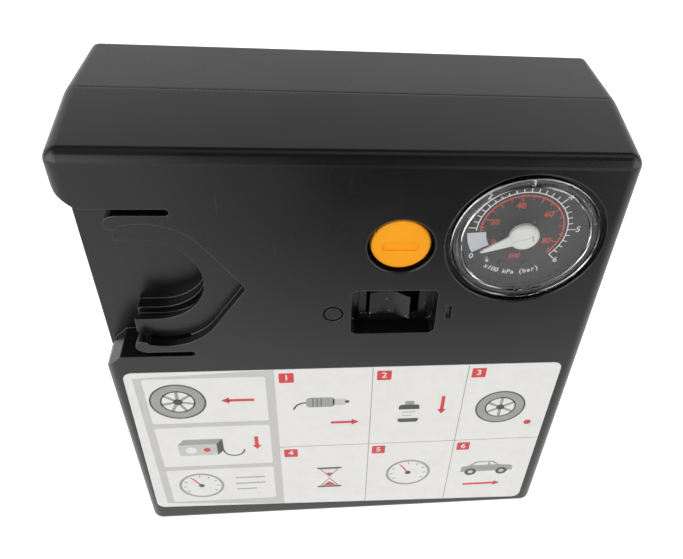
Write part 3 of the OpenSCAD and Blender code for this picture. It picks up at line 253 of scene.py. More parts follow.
shellLook = {
    "colour": (0.0024, 0.0024, 0.0026, 1), "cloudColour": (0.0036, 0.0036, 0.0039, 1),
    "roughness": 0.24, "cloudGloss": 0.05, "cloudScale": 28.0, "cloudLevel": (0.35, 0.7), "sheen": 0.5,
    "grainScale": 2600.0, "grainDepth": 0.00001, "grainGloss": 0.06,
    # the edge colour is a painted highlight, far lighter than the plastic
    "edgeRadius": 0.0006, "edgeHighlightColour": (0.11, 0.11, 0.113, 1), "edgeHighlightStrength": 0.9, "edgeGloss": 0.05,
    "dustScale": 190.0, "dustRadius": 0.045, "dustShare": 0.1, "dustStrength": 0.3,
    "dustColour": (0.1, 0.1, 0.1, 1),
    "scratchStrength": 0.15, "hairStretch": (70, 70, 3), "hairTurn": (0.4, 0.5, 0.2),
}
switchLook = {
    **shellLook, "colour": (0.003, 0.0031, 0.0033, 1), "cloudColour": (0.0042, 0.0043, 0.0046, 1),
    # a weaker painted edge highlight on the switch
    "roughness": 0.2, "sheen": 0.4, "grainDepth": 0.000006, "edgeRadius": 0.0003, "edgeHighlightStrength": 0.5,
    "dustScale": 700.0, "dustRadius": 0.24, "dustShare": 0.22, "dustStrength": 0.8,
    "dustColour": (0.16, 0.16, 0.16, 1),
}
buttonLook = {
    **shellLook, "colour": (0.9, 0.335, 0.001, 1), "cloudColour": (0.92, 0.36, 0.002, 1),
    "roughness": 0.32, "sheen": 0.36, "grainDepth": 0.000006, "edgeRadius": 0.0003,
    # a lighter orange along the edges, as painted highlight
    "edgeHighlightColour": (1.0, 0.45, 0.05, 1), "edgeHighlightStrength": 0.5, "dustStrength": 0.0, "scratchStrength": 0.0,
}


def printedSheet(name, look):
    # smooth film, board or plain plastic, with a faint mottle and soft gloss
    finish = newFinish(name)
    mottle = finish.noise(look["mottleScale"], detail=3.0)
    cover = finish.ramp(mottle, *look["mottleLevel"])
    return finish.surface({
        "Base Color": finish.blend(cover, look["colour"], look["mottleColour"]),
        "Specular IOR Level": look["sheen"],
        "Roughness": mottle * look["mottleGloss"] + look["roughness"],
        "Normal": finish.bump(finish.noise(look["grainScale"]), look["grainDepth"]),
    })


def printedLook(colour, shade=0.93, roughness=0.4, sheen=0.5):
    return {
        "colour": (*colour, 1), "mottleColour": (*(channel * shade for channel in colour), 1),
        "roughness": roughness, "sheen": sheen,
        "mottleScale": 180.0, "mottleLevel": (0.3, 0.7), "mottleGloss": 0.12,
        "grainScale": 900.0, "grainDepth": 0.0000008,
    }


def metal(name, look):
    # turned, drawn or cast metal, with its marks along one axis
    finish = newFinish(name)
    lines = finish.noise(look["lineScale"], detail=3.0, vector=finish.stretched(look["lineStretch"]))
    stain = finish.ramp(finish.noise(look["stainScale"], detail=4.0), *look["stainLevel"])
    return finish.surface({
        "Base Color": finish.blend(stain, look["colour"], look["stainColour"]),
        "Metallic": 1.0,
        "Roughness": lines * look["lineRoughness"] + look["roughness"] + stain * look["stainRoughness"],
        "Normal": finish.bump(lines, look["lineDepth"]),
    })


def metalLook(colour, roughness, stretch=(1, 1, 1), scale=900.0, depth=0.00001, stainShade=0.8):
    return {
        "colour": (*colour, 1), "stainColour": (*(channel * stainShade for channel in colour), 1),
        "roughness": roughness, "lineScale": scale, "lineStretch": stretch,
        "lineRoughness": 0.2, "lineDepth": depth,
        "stainScale": 90.0, "stainLevel": (0.4, 0.72), "stainRoughness": 0.08,
    }


def clearPlastic(name, look):
    # polished, with dull specks of dust and a few hair scratches
    finish = newFinish(name)
    dust = finish.specks(look["dustScale"], look["dustRadius"], look["dustShare"])
    dull = dust * look["dustDull"] + finish.hairs(look["hairStretch"], look["hairTurn"]) * look["scratchDull"]
    return finish.surface({
        "Base Color": look["colour"],
        "Roughness": dull + look["roughness"],
        "IOR": plasticIndex,
        "Transmission Weight": 1.0,
        "Normal": finish.bump(finish.noise(look["waveScale"]), look["waveDepth"]),
    })


lensLook = {
    "colour": (0.99, 0.995, 0.995, 1), "roughness": 0.0, "waveScale": 35.0, "waveDepth": 0.000001,
    "dustScale": 420.0, "dustRadius": 0.1, "dustShare": 0.12, "dustDull": 0.5,
    "scratchDull": 0.25, "hairStretch": (60, 60, 4), "hairTurn": (0.2, 0.1, 0.9),
}
rubberLook = {
    # a faint painted edge highlight on the rubber
    **shellLook, "colour": (0.012, 0.012, 0.0125, 1), "roughness": 0.62, "edgeHighlightStrength": 0.2,
    "dustStrength": 0.15, "scratchStrength": 0.0,
}
finishes = {
    "black_plastic": mouldedPlastic("mouldedBlack", shellLook),
    "gloss_black": mouldedPlastic("switchBlack", switchLook),
    "orange_plastic": mouldedPlastic("buttonOrange", buttonLook),
    "label_vinyl": printedSheet("labelFilm", printedLook((0.74, 0.733, 0.715), 0.965)),
    "dial_print": printedSheet("dialGrey", {
        **printedLook((0.029, 0.0295, 0.0295), 0.93, 0.62), "grainDepth": 0.0000001}),
    "pointer_white": printedSheet("pointerWhite", printedLook((0.93, 0.92, 0.88), 0.96, 0.42)),
    "clear_plastic": clearPlastic("clearLens", lensLook),
    "brass": metal("turnedBrass", metalLook((0.76, 0.56, 0.25), 0.26, (1, 12, 12))),
    "steel": metal("brightSteel", metalLook((0.6, 0.61, 0.63), 0.24, (1, 14, 14))),
    "cast_alloy": metal("castAlloy", metalLook((0.62, 0.63, 0.64), 0.42, (1, 1, 1), 700.0, 0.00004)),
    "iron": metal("ironCore", metalLook((0.2, 0.2, 0.21), 0.5, (40, 1, 1), 60.0, 0.00003)),
    "bronze": metal("sinteredBronze", metalLook((0.55, 0.36, 0.18), 0.45, (1, 1, 1), 2500.0, 0.00003)),
    "copper": metal("windingCopper", metalLook((0.72, 0.33, 0.13), 0.3, (1, 30, 30), 40.0, 0.0001)),
    "rubber": mouldedPlastic("blackRubber", rubberLook),
    "acetal": printedSheet("gearAcetal", printedLook((0.74, 0.72, 0.66), 0.95, 0.38)),
    "ptfe": printedSheet("ringPtfe", printedLook((0.8, 0.78, 0.7), 0.95, 0.45)),
    "wire_red": printedSheet("wireRed", printedLook((0.5, 0.025, 0.025), 0.85, 0.4)),
    "capacitor": printedSheet("capacitorDip", printedLook((0.6, 0.33, 0.09), 0.85, 0.35)),
}
for part in frame["record"]["subparts"]:
    for cadSlot in frame["nodes"][part["node"]].material_slots:
        cadSlot.material = finishes[part["material_slot"]]
print("finishes made:", len(finishes))


# printed artwork: flat shapes in millimetres on a plane, each a thin closed solid
class Print:
    layerHeight = 0.012
    discSides = 32
    bandStep = 6
    letterSteps = 3
    strokeOverlap = 0.3

    def __init__(self, boldness=0.015):
        self.boldness = boldness
        self.bm = bmesh.new()

    def fill(self, before, ink):
        # inks the faces made since before was taken
        for face in self.bm.faces:
            if face not in before:
                face.material_index = ink

    def settle(self, before, ink, layer):
        # thickens those faces too, more for a higher layer
        fresh = [face for face in self.bm.faces if face not in before]
        raised = bmesh.ops.extrude_face_region(self.bm, geom=fresh)["geom"]
        top = [item for item in raised if isinstance(item, bmesh.types.BMVert)]
        bmesh.ops.translate(self.bm, verts=top, vec=(0, 0, (layer + 1) * self.layerHeight))
        self.fill(before, ink)

    def shape(self, points, ink, layer=0):
        before = set(self.bm.faces)
        self.bm.faces.new([self.bm.verts.new((x, y, 0)) for x, y in points])
        self.settle(before, ink, layer)

    def line(self, points, width, ink, layer=0):
        # straight strokes from point to point, each a little longer than its gap
        for first, last in zip(points, points[1:]):
            along = (Vector(last) - Vector(first)).normalized() * width
            across = Vector((-along.y, along.x)) / 2
            start = Vector(first) - along * self.strokeOverlap
            end = Vector(last) + along * self.strokeOverlap
            self.shape([start + across, start - across, end - across, end + across], ink, layer)

    def disc(self, x, y, radius, ink, layer=0):
        before = set(self.bm.faces)
        bmesh.ops.create_circle(self.bm, cap_ends=True, segments=self.discSides, radius=radius,
                                matrix=Matrix.Translation((x, y, 0)))
        self.settle(before, ink, layer)

    def band(self, x, y, inner, outer, ink, start=0, stop=360, layer=0):
        # a ring or part of one, spun from one edge
        before = set(self.bm.faces)
        ends = []
        for radius in (inner, outer):
            dx, dy = onCircle(radius, start)
            ends.append(self.bm.verts.new((x + dx, y + dy, 0)))
        edge = self.bm.edges.new(ends)
        sweep = stop - start
        bmesh.ops.spin(self.bm, geom=[edge, *ends], cent=(x, y, 0), axis=(0, 0, 1), dvec=(0, 0, 0),
                       angle=math.radians(sweep), steps=round(abs(sweep) / self.bandStep),
                       use_merge=abs(sweep) >= 360)
        self.settle(before, ink, layer)

    def words(self, text, x, y, size, ink, turn=0.0, layer=0):
        before = set(self.bm.faces)
        letters = bpy.data.curves.new("letters", "FONT")
        letters.body = text
        letters.size = size
        letters.offset = self.boldness * size
        letters.align_x = "CENTER"
        letters.align_y = "CENTER"
        letters.resolution_u = self.letterSteps
        height = (layer + 1) * self.layerHeight
        letters.extrude = height / 2
        holder = bpy.data.objects.new("letters", letters)
        bpy.context.scene.collection.objects.link(holder)
        mesh = bpy.data.meshes.new_from_object(holder)
        bpy.data.objects.remove(holder)
        turned = Matrix.Rotation(math.radians(turn), 4, "Z")
        mesh.transform(Matrix.Translation((x, y, height / 2)) @ turned)
        self.bm.from_mesh(mesh)
        bpy.data.meshes.remove(mesh)
        self.fill(before, ink)

    def standAt(self, name, point, inks, body):
        bmesh.ops.transform(self.bm, matrix=upright(point), verts=self.bm.verts)
        addPiece(name, self.bm, inks, body)


def onCircle(radius, degrees):
    return radius * math.cos(math.radians(degrees)), radius * math.sin(math.radians(degrees))


def upright(point):
    # from a flat drawing in millimetres to a sheet that faces the front at a point
    return Matrix.Translation(point) @ Matrix.Rotation(math.pi / 2, 4, "X") @ Matrix.Scale(millimetre, 4)


def addPiece(name, bm, materials, body, smooth=False):
    bmesh.ops.remove_doubles(bm, verts=bm.verts, dist=weldDistance)
    bmesh.ops.recalc_face_normals(bm, faces=bm.faces)
    mesh = bpy.data.meshes.new(name)
    bm.to_mesh(mesh)
    bm.free()
    for material in materials:
        mesh.materials.append(material)
    if smooth:
        mesh.shade_smooth()
    piece = bpy.data.objects.new(name, mesh)
    bpy.context.scene.collection.objects.link(piece)
    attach(piece, body)
    return piece


# inks of the printed shapes and drawn lines
inkFinishes = {
    "white": printedSheet("inkWhite", printedLook((0.95, 0.95, 0.93), 0.92, 0.5)),
    "red": printedSheet("inkRed", printedLook((0.72, 0.075, 0.04), 0.9, 0.5)),
    "patch": printedSheet("inkPatch", printedLook((0.8, 0.82, 0.86), 0.95, 0.45)),
    "shade": printedSheet("inkShade", printedLook((0.42, 0.41, 0.38), 0.9, 0.6)),
    # painted shade for the engraved switch marks
    "groove": printedSheet("inkGrooveShade", printedLook((0.0015, 0.0015, 0.0016), 0.9, 0.75, 0.1)),
    "panel": printedSheet("inkPanel", printedLook((0.53, 0.525, 0.51), 0.96, 0.42)),
    "paper": printedSheet("inkPaper", printedLook((0.74, 0.733, 0.715), 0.965)),
    "tag": printedSheet("inkTag", printedLook((0.62, 0.045, 0.045), 0.9, 0.42)),
    "mid": printedSheet("inkMid", printedLook((0.33, 0.33, 0.32), 0.92, 0.42)),
    "dark": printedSheet("inkDark", printedLook((0.07, 0.07, 0.072), 0.9, 0.42)),
}

# gauge dial: kPa scale outside in white, psi scale inside in red
dial = {
    "oneBarAngle": 176.5, "barStep": 43.9, "bars": 6, "ticksPerBar": 5, "psiPerBar": 14.504,
    "whiteArc": (15.42, 15.82), "whiteArcEnd": 180, "redArc": (13.98, 14.55), "redArcEnd": 182,
    "barTick": 2.5, "fifthTick": 1.35, "tickWidth": 0.38,
    "firstPsi": 15, "lastPsi": 85, "psiTicks": {20: 1.9, 10: 1.5, 5: 1.0},
    "boldness": 0.02, "numberSize": 3.2, "numberRadius": 19.4, "zero": (19.5, -145), "psiRadius": 10.4,
    "psiAngles": {0: -150.5, 20: 160.5, 40: 101.9, 60: 40.5, 80: -25.8},
    "unit": "psi", "unitPlace": (-0.7, -10.9), "unitSize": 3.4,
    "caption": "x100 kPa (bar)", "captionSize": 2.8, "captionRadius": 18.7, "captionMiddle": -93,
    "captionStep": 4.5,
    "patch": (12.2, 18.6), "patchAngles": (183.5, 210.8),
}


def barAngle(bar):
    return dial["oneBarAngle"] - (bar - 1) * dial["barStep"]


def dialFace():
    # middle of the dial's front
    low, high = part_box("gauge_dial")
    return Vector(((low.x + high.x) / 2, low.y, (low.z + high.z) / 2))


def drawBarScale(art, ink):
    art.band(0, 0, *dial["whiteArc"], ink, barAngle(dial["bars"]), dial["whiteArcEnd"])
    outer = dial["whiteArc"][1]
    for step in range((dial["bars"] - 1) * dial["ticksPerBar"] + 1):
        angle = barAngle(1 + step / dial["ticksPerBar"])
        length = dial["fifthTick"] if step % dial["ticksPerBar"] else dial["barTick"]
        art.line([onCircle(outer, angle), onCircle(outer + length, angle)], dial["tickWidth"], ink)
    for bar in range(1, dial["bars"] + 1):
        art.words(str(bar), *onCircle(dial["numberRadius"], barAngle(bar)), dial["numberSize"], ink)
    art.words("0", *onCircle(*dial["zero"]), dial["numberSize"], ink)


def drawPsiScale(art, ink):
    art.band(0, 0, *dial["redArc"], ink, barAngle(dial["bars"]), dial["redArcEnd"])
    inner = dial["redArc"][0]
    for psi in range(dial["firstPsi"], dial["lastPsi"] + 1, min(dial["psiTicks"])):
        angle = barAngle(psi / dial["psiPerBar"])
        length = next(size for multiple, size in dial["psiTicks"].items() if psi % multiple == 0)
        art.line([onCircle(inner, angle), onCircle(inner - length, angle)], dial["tickWidth"], ink)
    for psi, angle in dial["psiAngles"].items():
        art.words(str(psi), *onCircle(dial["psiRadius"], angle), dial["numberSize"], ink)
    art.words(dial["unit"], *dial["unitPlace"], dial["unitSize"], ink)


def drawDial():
    art = Print(dial["boldness"])
    white, red, patch = range(3)
    drawBarScale(art, white)
    drawPsiScale(art, red)
    middle = (len(dial["caption"]) - 1) / 2
    for index, letter in enumerate(dial["caption"]):
        angle = dial["captionMiddle"] + (index - middle) * dial["captionStep"]
        art.words(letter, *onCircle(dial["captionRadius"], angle), dial["captionSize"], white, angle + 90)
    art.band(0, 0, *dial["patch"], patch, *dial["patchAngles"])
    inks = [inkFinishes[key] for key in ("white", "red", "patch")]
    art.standAt("dial_print", dialFace(), inks, "housing")


# dial hardware: two pan-head screws with crossed slots of painted shade, and the pointer's stop peg
hardwareLook = {
    "screws": ((-4.76, -14.75), (4.0, -14.95)),
    "head": {"radius1": 1.7, "radius2": 1.45, "depth": 0.6, "segments": 24},
    "headRounding": {"offset": 0.15, "segments": 2},
    "slotShadeBar": (2.1, 0.4, 0.12), "slotHeight": 0.62, "slotTurns": (20, 110),
    "peg": (-10.75, -11.4),
    "stem": {"radius1": 0.55, "radius2": 0.55, "depth": 2.4, "segments": 20},
    "stemRounding": {"offset": 0.2, "segments": 3},
}


def roundedPin(bm, x, y, pin, rounding):
    # a pin that stands on the sheet, with its top rim rounded
    middle = Matrix.Translation((x, y, pin["depth"] / 2))
    made = bmesh.ops.create_cone(bm, cap_ends=True, matrix=middle, **pin)["verts"]
    top = [vertex for vertex in made if vertex.co.z > pin["depth"] / 2]
    rim = [edge for edge in bm.edges if edge.verts[0] in top and edge.verts[1] in top]
    bmesh.ops.bevel(bm, geom=rim, offset_type="OFFSET", affect="EDGES", profile=0.5, material=-1, **rounding)


def addDialScrews():
    screws = bmesh.new()
    for x, y in hardwareLook["screws"]:
        roundedPin(screws, x, y, hardwareLook["head"], hardwareLook["headRounding"])
        for turn in hardwareLook["slotTurns"]:
            place = Matrix.Translation((x, y, hardwareLook["slotHeight"]))
            turned = place @ Matrix.Rotation(math.radians(turn), 4, "Z")
            sized = turned @ Matrix.Diagonal((*hardwareLook["slotShadeBar"], 1))
            # each slot is a dark bar of painted shade on the head, not a cut
            bar = bmesh.ops.create_cube(screws, size=1, matrix=sized)["verts"]
            for face in {face for vertex in bar for face in vertex.link_faces}:
                face.material_index = 1
    bmesh.ops.transform(screws, matrix=upright(dialFace()), verts=screws.verts)
    inks = [finishes["dial_print"], finishes["gloss_black"]]
    addPiece("dial_screws", screws, inks, "housing")


def addStopPeg():
    peg = bmesh.new()
    roundedPin(peg, *hardwareLook["peg"], hardwareLook["stem"], hardwareLook["stemRounding"])
    bmesh.ops.transform(peg, matrix=upright(dialFace()), verts=peg.verts)
    addPiece("dial_stop_peg", peg, [finishes["pointer_white"]], "housing", True)


# pointer: the fold along its back and the slot beside its middle, as thin grey lines of painted shade
pointerLook = {
    "fold": ((2.2, 0.5), (-4.2, -2.1)), "foldWidth": 0.13,
    "slot": ((2.55, 1.1), (3.05, -1.1)), "slotWidth": 0.34,
}


def drawPointerLines():
    art = Print()
    art.line(pointerLook["fold"], pointerLook["foldWidth"], 0)
    art.line(pointerLook["slot"], pointerLook["slotWidth"], 0)
    middle = dialFace()
    middle.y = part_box("gauge_pointer")[0].y
    art.standAt("pointer_shade_lines", middle, [inkFinishes["shade"]], "pointer")


# switch marks: painted shade in the groove of the engraved ring and on the shaded sides of the bar
markLook = {
    "ringLeft": 21.2, "ring": (2.82, 3.58), "barRight": 19.5, "bar": (1.9, 6.4),
    "barLine": 0.36, "shortSide": 0.2, "lower": 0.2, "depth": 0.03,
}


def drawSwitchMarks():
    art = Print()
    art.band(-markLook["ringLeft"], 0, *markLook["ring"], 0)
    line = markLook["barLine"]
    halfWidth, foot = (size / 2 - line for size in markLook["bar"])
    left, right = markLook["barRight"] - halfWidth, markLook["barRight"] + halfWidth
    corners = [(left, -foot * markLook["shortSide"]), (left, -foot), (right, -foot), (right, foot)]
    art.line(corners, line, 0)
    low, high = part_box("switch_body")
    middle = (low + high) / 2
    middle.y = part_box("front_cover")[0].y + markLook["depth"] * millimetre
    middle.z -= markLook["lower"] * millimetre
    art.standAt("switch_mark_shade", middle, [inkFinishes["groove"]], "housing")


# button spring: a coil that bears against the valve
springLook = {"turns": 5, "stepsPerTurn": 24, "wireRadius": 0.45, "wireSides": 12, "travel": 2.5}


def addSpring():
    low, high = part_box("button_spring")
    middle, length = (low + high) / 2, high.y - low.y
    wire = springLook["wireRadius"] * millimetre
    turns = springLook["turns"]
    steps = turns * springLook["stepsPerTurn"]
    bm = bmesh.new()
    start = Matrix.Translation((high.x - wire, low.y + wire, middle.z))
    bmesh.ops.create_circle(bm, segments=springLook["wireSides"], radius=wire, matrix=start)
    bmesh.ops.spin(bm, geom=[*bm.verts, *bm.edges], cent=middle, axis=(0, 1, 0), angle=math.tau * turns,
                   dvec=(0, (length - 2 * wire) / steps, 0), steps=steps)
    bmesh.ops.holes_fill(bm, edges=[edge for edge in bm.edges if edge.is_boundary], sides=0)
    coil = addPiece("spring_coil", bm, [finishes["steel"]], "housing", True)
    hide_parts("button_spring")
    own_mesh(coil)


drawDial()
addDialScrews()
addStopPeg()
addSpring()
drawPointerLines()
drawSwitchMarks()
print("dial and switch dressed")


# label: a grey panel of three windows on the left, six numbered steps in two rows beside it
labelLook = {
    "lean": 1.4, "rise": 6.0, "panelRight": -29.0, "panelCorner": 3.0, "panelLift": 0.2, "panelGap": 0.1,
    "windows": ((73.5, 100.6), (43.4, 70.6), (15.6, 40.5)), "windowMargins": (6.0, 3.4), "windowRound": 1.0,
    "columnEdges": (8.0, 45.0), "split": 54.5, "dividerWidth": 0.35, "dividerGap": 0.6, "dividerEnd": 0.3,
    "tag": 5.6, "tagRound": 0.5, "tagText": 4.4, "tagRight": 1.6, "tagDown": (2.2, 1.8),
}
paper, panelInk, tagInk, midInk, darkInk = range(5)
cornerSteps = 4


def moved(points, x, y, scale=1.0):
    return [(x + right * scale, y + up * scale) for right, up in points]


def roundedBox(art, left, foot, right, head, radius, ink, layer):
    corners = [(right - radius, head - radius, 0), (left + radius, head - radius, 90),
               (left + radius, foot + radius, 180), (right - radius, foot + radius, 270)]
    points = []
    for x, y, start in corners:
        angles = [start + step * 90 / cornerSteps for step in range(cornerSteps + 1)]
        points += moved([onCircle(radius, angle) for angle in angles], x, y)
    art.shape(points, ink, layer)


def boxAt(art, x, y, box, radius, ink, layer):
    left, foot, right, head = box
    roundedBox(art, x + left, y + foot, x + right, y + head, radius, ink, layer)


def radialLine(art, x, y, inner, outer, angle, width, ink, layer):
    art.line(moved([onCircle(inner, angle), onCircle(outer, angle)], x, y), width, ink, layer)


arrowLook = {"shaft": 1.5, "head": [(3, 0), (0, 1.9), (0, -1.9)]}


def drawArrow(art, x, y, length, angle, layer=1):
    # from its tail at x, y, turned by the angle
    headLength = arrowLook["head"][0][0]
    neck = moved([onCircle(length - headLength, angle)], x, y)[0]
    art.line([(x, y), neck], arrowLook["shaft"], tagInk, layer)
    alongX, alongY = onCircle(1, angle)
    head = [(right * alongX - up * alongY, right * alongY + up * alongX) for right, up in arrowLook["head"]]
    art.shape(moved(head, *neck), tagInk, layer)


# a wheel's rings, as shares of its radius
wheelIcon = {
    "tyreLine": 0.93, "rim": 0.62, "rimLine": 0.56, "hub": 0.16, "spokeEnd": 0.58, "spokeWidth": 0.12,
}


def drawWheel(art, x, y, radius, spokes, layer=1):
    size = {key: share * radius for key, share in wheelIcon.items()}
    art.disc(x, y, radius, midInk, layer)
    art.band(x, y, size["tyreLine"], radius, darkInk, layer=layer + 1)
    art.disc(x, y, size["rim"], paper, layer + 1)
    art.band(x, y, size["rimLine"], size["rim"], darkInk, layer=layer + 2)
    for index in range(spokes):
        angle = 90 + index * 360 / spokes
        radialLine(art, x, y, size["hub"], size["spokeEnd"], angle, size["spokeWidth"], midInk, layer + 2)
    art.disc(x, y, size["hub"], darkInk, layer + 2)


gaugeIcon = {
    "face": 0.88, "tick": (0.68, 0.8), "tickWidth": 0.35, "ticks": 9, "firstAngle": 215, "stepAngle": 31,
    "needle": 0.66, "needleAngle": 120, "needleWidth": 0.7, "hub": 0.13,
}


def drawGaugeIcon(art, x, y, radius, layer=1):
    art.disc(x, y, radius, midInk, layer)
    art.disc(x, y, radius * gaugeIcon["face"], paper, layer + 1)
    inner, outer = (share * radius for share in gaugeIcon["tick"])
    for step in range(gaugeIcon["ticks"]):
        angle = gaugeIcon["firstAngle"] - step * gaugeIcon["stepAngle"]
        radialLine(art, x, y, inner, outer, angle, gaugeIcon["tickWidth"], darkInk, layer + 2)
    radialLine(art, x, y, 0, radius * gaugeIcon["needle"], gaugeIcon["needleAngle"],
               gaugeIcon["needleWidth"], tagInk, layer + 2)
    art.disc(x, y, radius * gaugeIcon["hub"], darkInk, layer + 3)


# a box in these pictures is its left, foot, right and head from the picture's own middle
plugIcon = {
    "grip": (-7, -3, 4, 3), "gripRound": 1.4, "barrel": (3.4, -2, 8.6, 2), "barrelRound": 0.7,
    "tipAt": 9, "tip": 0.9, "ribs": (-4.4, -2.8, -1.2), "ribHalf": 2.6, "ribWidth": 0.35,
    "cordMiddle": (-7, -5), "cord": (4.6, 5.4), "cordAngles": (90, 170),
}


def drawPlugIcon(art, x, y, layer=1):
    boxAt(art, x, y, plugIcon["grip"], plugIcon["gripRound"], midInk, layer)
    boxAt(art, x, y, plugIcon["barrel"], plugIcon["barrelRound"], panelInk, layer)
    art.disc(x + plugIcon["tipAt"], y, plugIcon["tip"], darkInk, layer)
    half = plugIcon["ribHalf"]
    for rib in plugIcon["ribs"]:
        art.line(moved([(rib, -half), (rib, half)], x, y), plugIcon["ribWidth"], darkInk, layer + 1)
    cordX, cordY = plugIcon["cordMiddle"]
    art.band(x + cordX, y + cordY, *plugIcon["cord"], darkInk, *plugIcon["cordAngles"], layer)


bottleIcon = {
    "body": (-4.2, -8, 4.2, 3.6), "bodyRound": 1.3, "wrap": (-4.2, -5.4, 4.2, 0.6), "wrapRound": 0.3,
    "cap": (-1.9, 3.2, 1.9, 6), "capRound": 0.6,
    "lines": ([(-2.6, -1.2), (2.6, -1.2)], [(-2.6, -3.4), (1.2, -3.4)]), "lineWidth": 0.4,
}


def drawBottleIcon(art, x, y, layer=1):
    boxAt(art, x, y, bottleIcon["body"], bottleIcon["bodyRound"], darkInk, layer)
    boxAt(art, x, y, bottleIcon["wrap"], bottleIcon["wrapRound"], paper, layer + 1)
    boxAt(art, x, y, bottleIcon["cap"], bottleIcon["capRound"], midInk, layer)
    for ends in bottleIcon["lines"]:
        art.line(moved(ends, x, y), bottleIcon["lineWidth"], midInk, layer + 2)


hourglassIcon = {
    "bulb": [(-4.4, 7), (0, 0), (4.4, 7)], "inside": [(-3.3, 6.4), (0, 1.1), (3.3, 6.4)],
    "plate": [(-5, 7.4), (5, 7.4)], "plateWidth": 1,
    "sand": ([(-2.9, -6.3), (2.9, -6.3), (0, -3.2)], [(-1.6, 3.6), (0, 1.2), (1.6, 3.6)]),
}


def drawHourglass(art, x, y, layer=1):
    for side in (1, -1):
        art.shape(moved(hourglassIcon["bulb"], x, y, side), midInk, layer)
        art.shape(moved(hourglassIcon["inside"], x, y, side), paper, layer + 1)
        art.line(moved(hourglassIcon["plate"], x, y, side), hourglassIcon["plateWidth"], darkInk, layer)
    for heap in hourglassIcon["sand"]:
        art.shape(moved(heap, x, y), tagInk, layer + 2)


# a box in oblique view with a hose out of its side, as shares of its size
boxIcon = {
    "size": 9,
    "front": [(-1, -0.5), (0.7, -0.5), (0.7, 0.35), (-1, 0.35)],
    "top": [(-1, 0.35), (0.7, 0.35), (1, 0.75), (-0.7, 0.75)],
    "side": [(0.7, -0.5), (1, -0.15), (1, 0.75), (0.7, 0.35)],
    "dials": ((-0.45, -0.08, 0.24, paper), (0.25, -0.08, 0.16, tagInk)),
    "hoseMiddle": (1.45, -0.15), "hose": (0.42, 0.5), "hoseAngles": (180, 360),
}


def drawBoxIcon(art, x, y, layer=1):
    size = boxIcon["size"]
    for side, ink in (("front", panelInk), ("top", midInk), ("side", darkInk)):
        art.shape(moved(boxIcon[side], x, y, size), ink, layer)
    for right, up, radius, ink in boxIcon["dials"]:
        art.disc(x + right * size, y + up * size, radius * size, ink, layer + 1)
    hoseX, hoseY = moved([boxIcon["hoseMiddle"]], x, y, size)[0]
    inner, outer = (share * size for share in boxIcon["hose"])
    art.band(hoseX, hoseY, inner, outer, darkInk, *boxIcon["hoseAngles"], layer)


carIcon = {
    "body": [(-12, -2.6), (12, -2.6), (12, 0.6), (10.6, 1.8), (5.6, 2.2), (2.2, 5.4), (-5.4, 5.4),
             (-8.6, 2.2), (-11.6, 1.4)],
    "windows": ([(-6.8, 2.4), (0.2, 2.4), (0.2, 4.6), (-5, 4.6)],
                [(1.1, 2.4), (4.2, 2.4), (1.9, 4.6), (1.1, 4.6)]),
    "wheels": ((-7.2, -2.8), (7.2, -2.8)), "tyre": 2.7, "rim": 1.2,
}


def drawCarIcon(art, x, y, layer=1):
    art.shape(moved(carIcon["body"], x, y), midInk, layer)
    for window in carIcon["windows"]:
        art.shape(moved(window, x, y), paper, layer + 1)
    for wheelX, wheelY in moved(carIcon["wheels"], x, y):
        art.disc(wheelX, wheelY, carIcon["tyre"], darkInk, layer + 1)
        art.disc(wheelX, wheelY, carIcon["rim"], panelInk, layer + 2)


def drawTag(art, x, y, number):
    size = labelLook["tag"]
    roundedBox(art, x, y - size, x + size, y, labelLook["tagRound"], tagInk, 1)
    art.words(str(number), x + size / 2, y - size / 2, labelLook["tagText"], paper, layer=2)


# pictures: how each is drawn, its place across from the middle of the panel or column and up from
# the ground, and its own sizes
panelPictures = (
    (drawWheel, (-11, 87), (10.5, 7)),
    (drawArrow, (17, 87), (12, 180)),
    (drawBoxIcon, (-6, 55.5), ()),
    (drawArrow, (16.5, 62.5), (8.5, 270)),
    (drawGaugeIcon, (-9, 28), (9.5,)),
)
panelLines = {"start": 6, "heightAndEnd": ((33, 18), (28.5, 18), (24, 14)), "width": 0.8}
stepPictures = (
    ((drawPlugIcon, (0, 84), ()), (drawArrow, (3, 70.5), (11, 0))),
    ((drawBottleIcon, (-3, 77), ()), (drawArrow, (10.5, 85), (11, 270))),
    ((drawWheel, (-2, 77), (10.5, 6)), (Print.disc, (11.5, 66), (1.6, tagInk))),
    ((drawHourglass, (2, 30), ()),),
    ((drawGaugeIcon, (0, 31), (10,)),),
    ((drawCarIcon, (-1, 32), ()), (drawArrow, (-10, 19), (17, 0))),
)


def drawPictures(art, middle, pictures, layer):
    for draw, (across, height), values in pictures:
        draw(art, middle + across, height, *values, layer=layer)


def drawPanel(art, left, right, top, foot):
    corner, gap = labelLook["panelCorner"], labelLook["panelGap"]
    art.shape([(left + corner, foot(left) + corner + labelLook["panelLift"]), (right, foot(right) + gap),
               (right, top - gap), (left + corner, top - corner)], panelInk)
    leftMargin, rightMargin = labelLook["windowMargins"]
    left, right = left + leftMargin, right - rightMargin
    for low, high in labelLook["windows"]:
        roundedBox(art, left, low, right, high, labelLook["windowRound"], paper, 1)
    middle = (left + right) / 2
    drawPictures(art, middle, panelPictures, 2)
    for height, end in panelLines["heightAndEnd"]:
        line = [(middle + panelLines["start"], height), (middle + end, height)]
        art.line(line, panelLines["width"], midInk, 2)


def drawSteps(art, edges, top, foot):
    split, gap = labelLook["split"], labelLook["dividerGap"]
    for x in labelLook["columnEdges"]:
        art.line([(x, foot(x) + gap), (x, top - gap)], labelLook["dividerWidth"], midInk)
    across = [(edges[0], split), (edges[-1] - labelLook["dividerEnd"], split)]
    art.line(across, labelLook["dividerWidth"], midInk)
    tops = [start - down for start, down in zip((top, split), labelLook["tagDown"])]
    for index, pictures in enumerate(stepPictures):
        column, row = index % 3, index // 3
        drawTag(art, edges[column] + labelLook["tagRight"], tops[row], index + 1)
        drawPictures(art, (edges[column] + edges[column + 1]) / 2, pictures, 1)


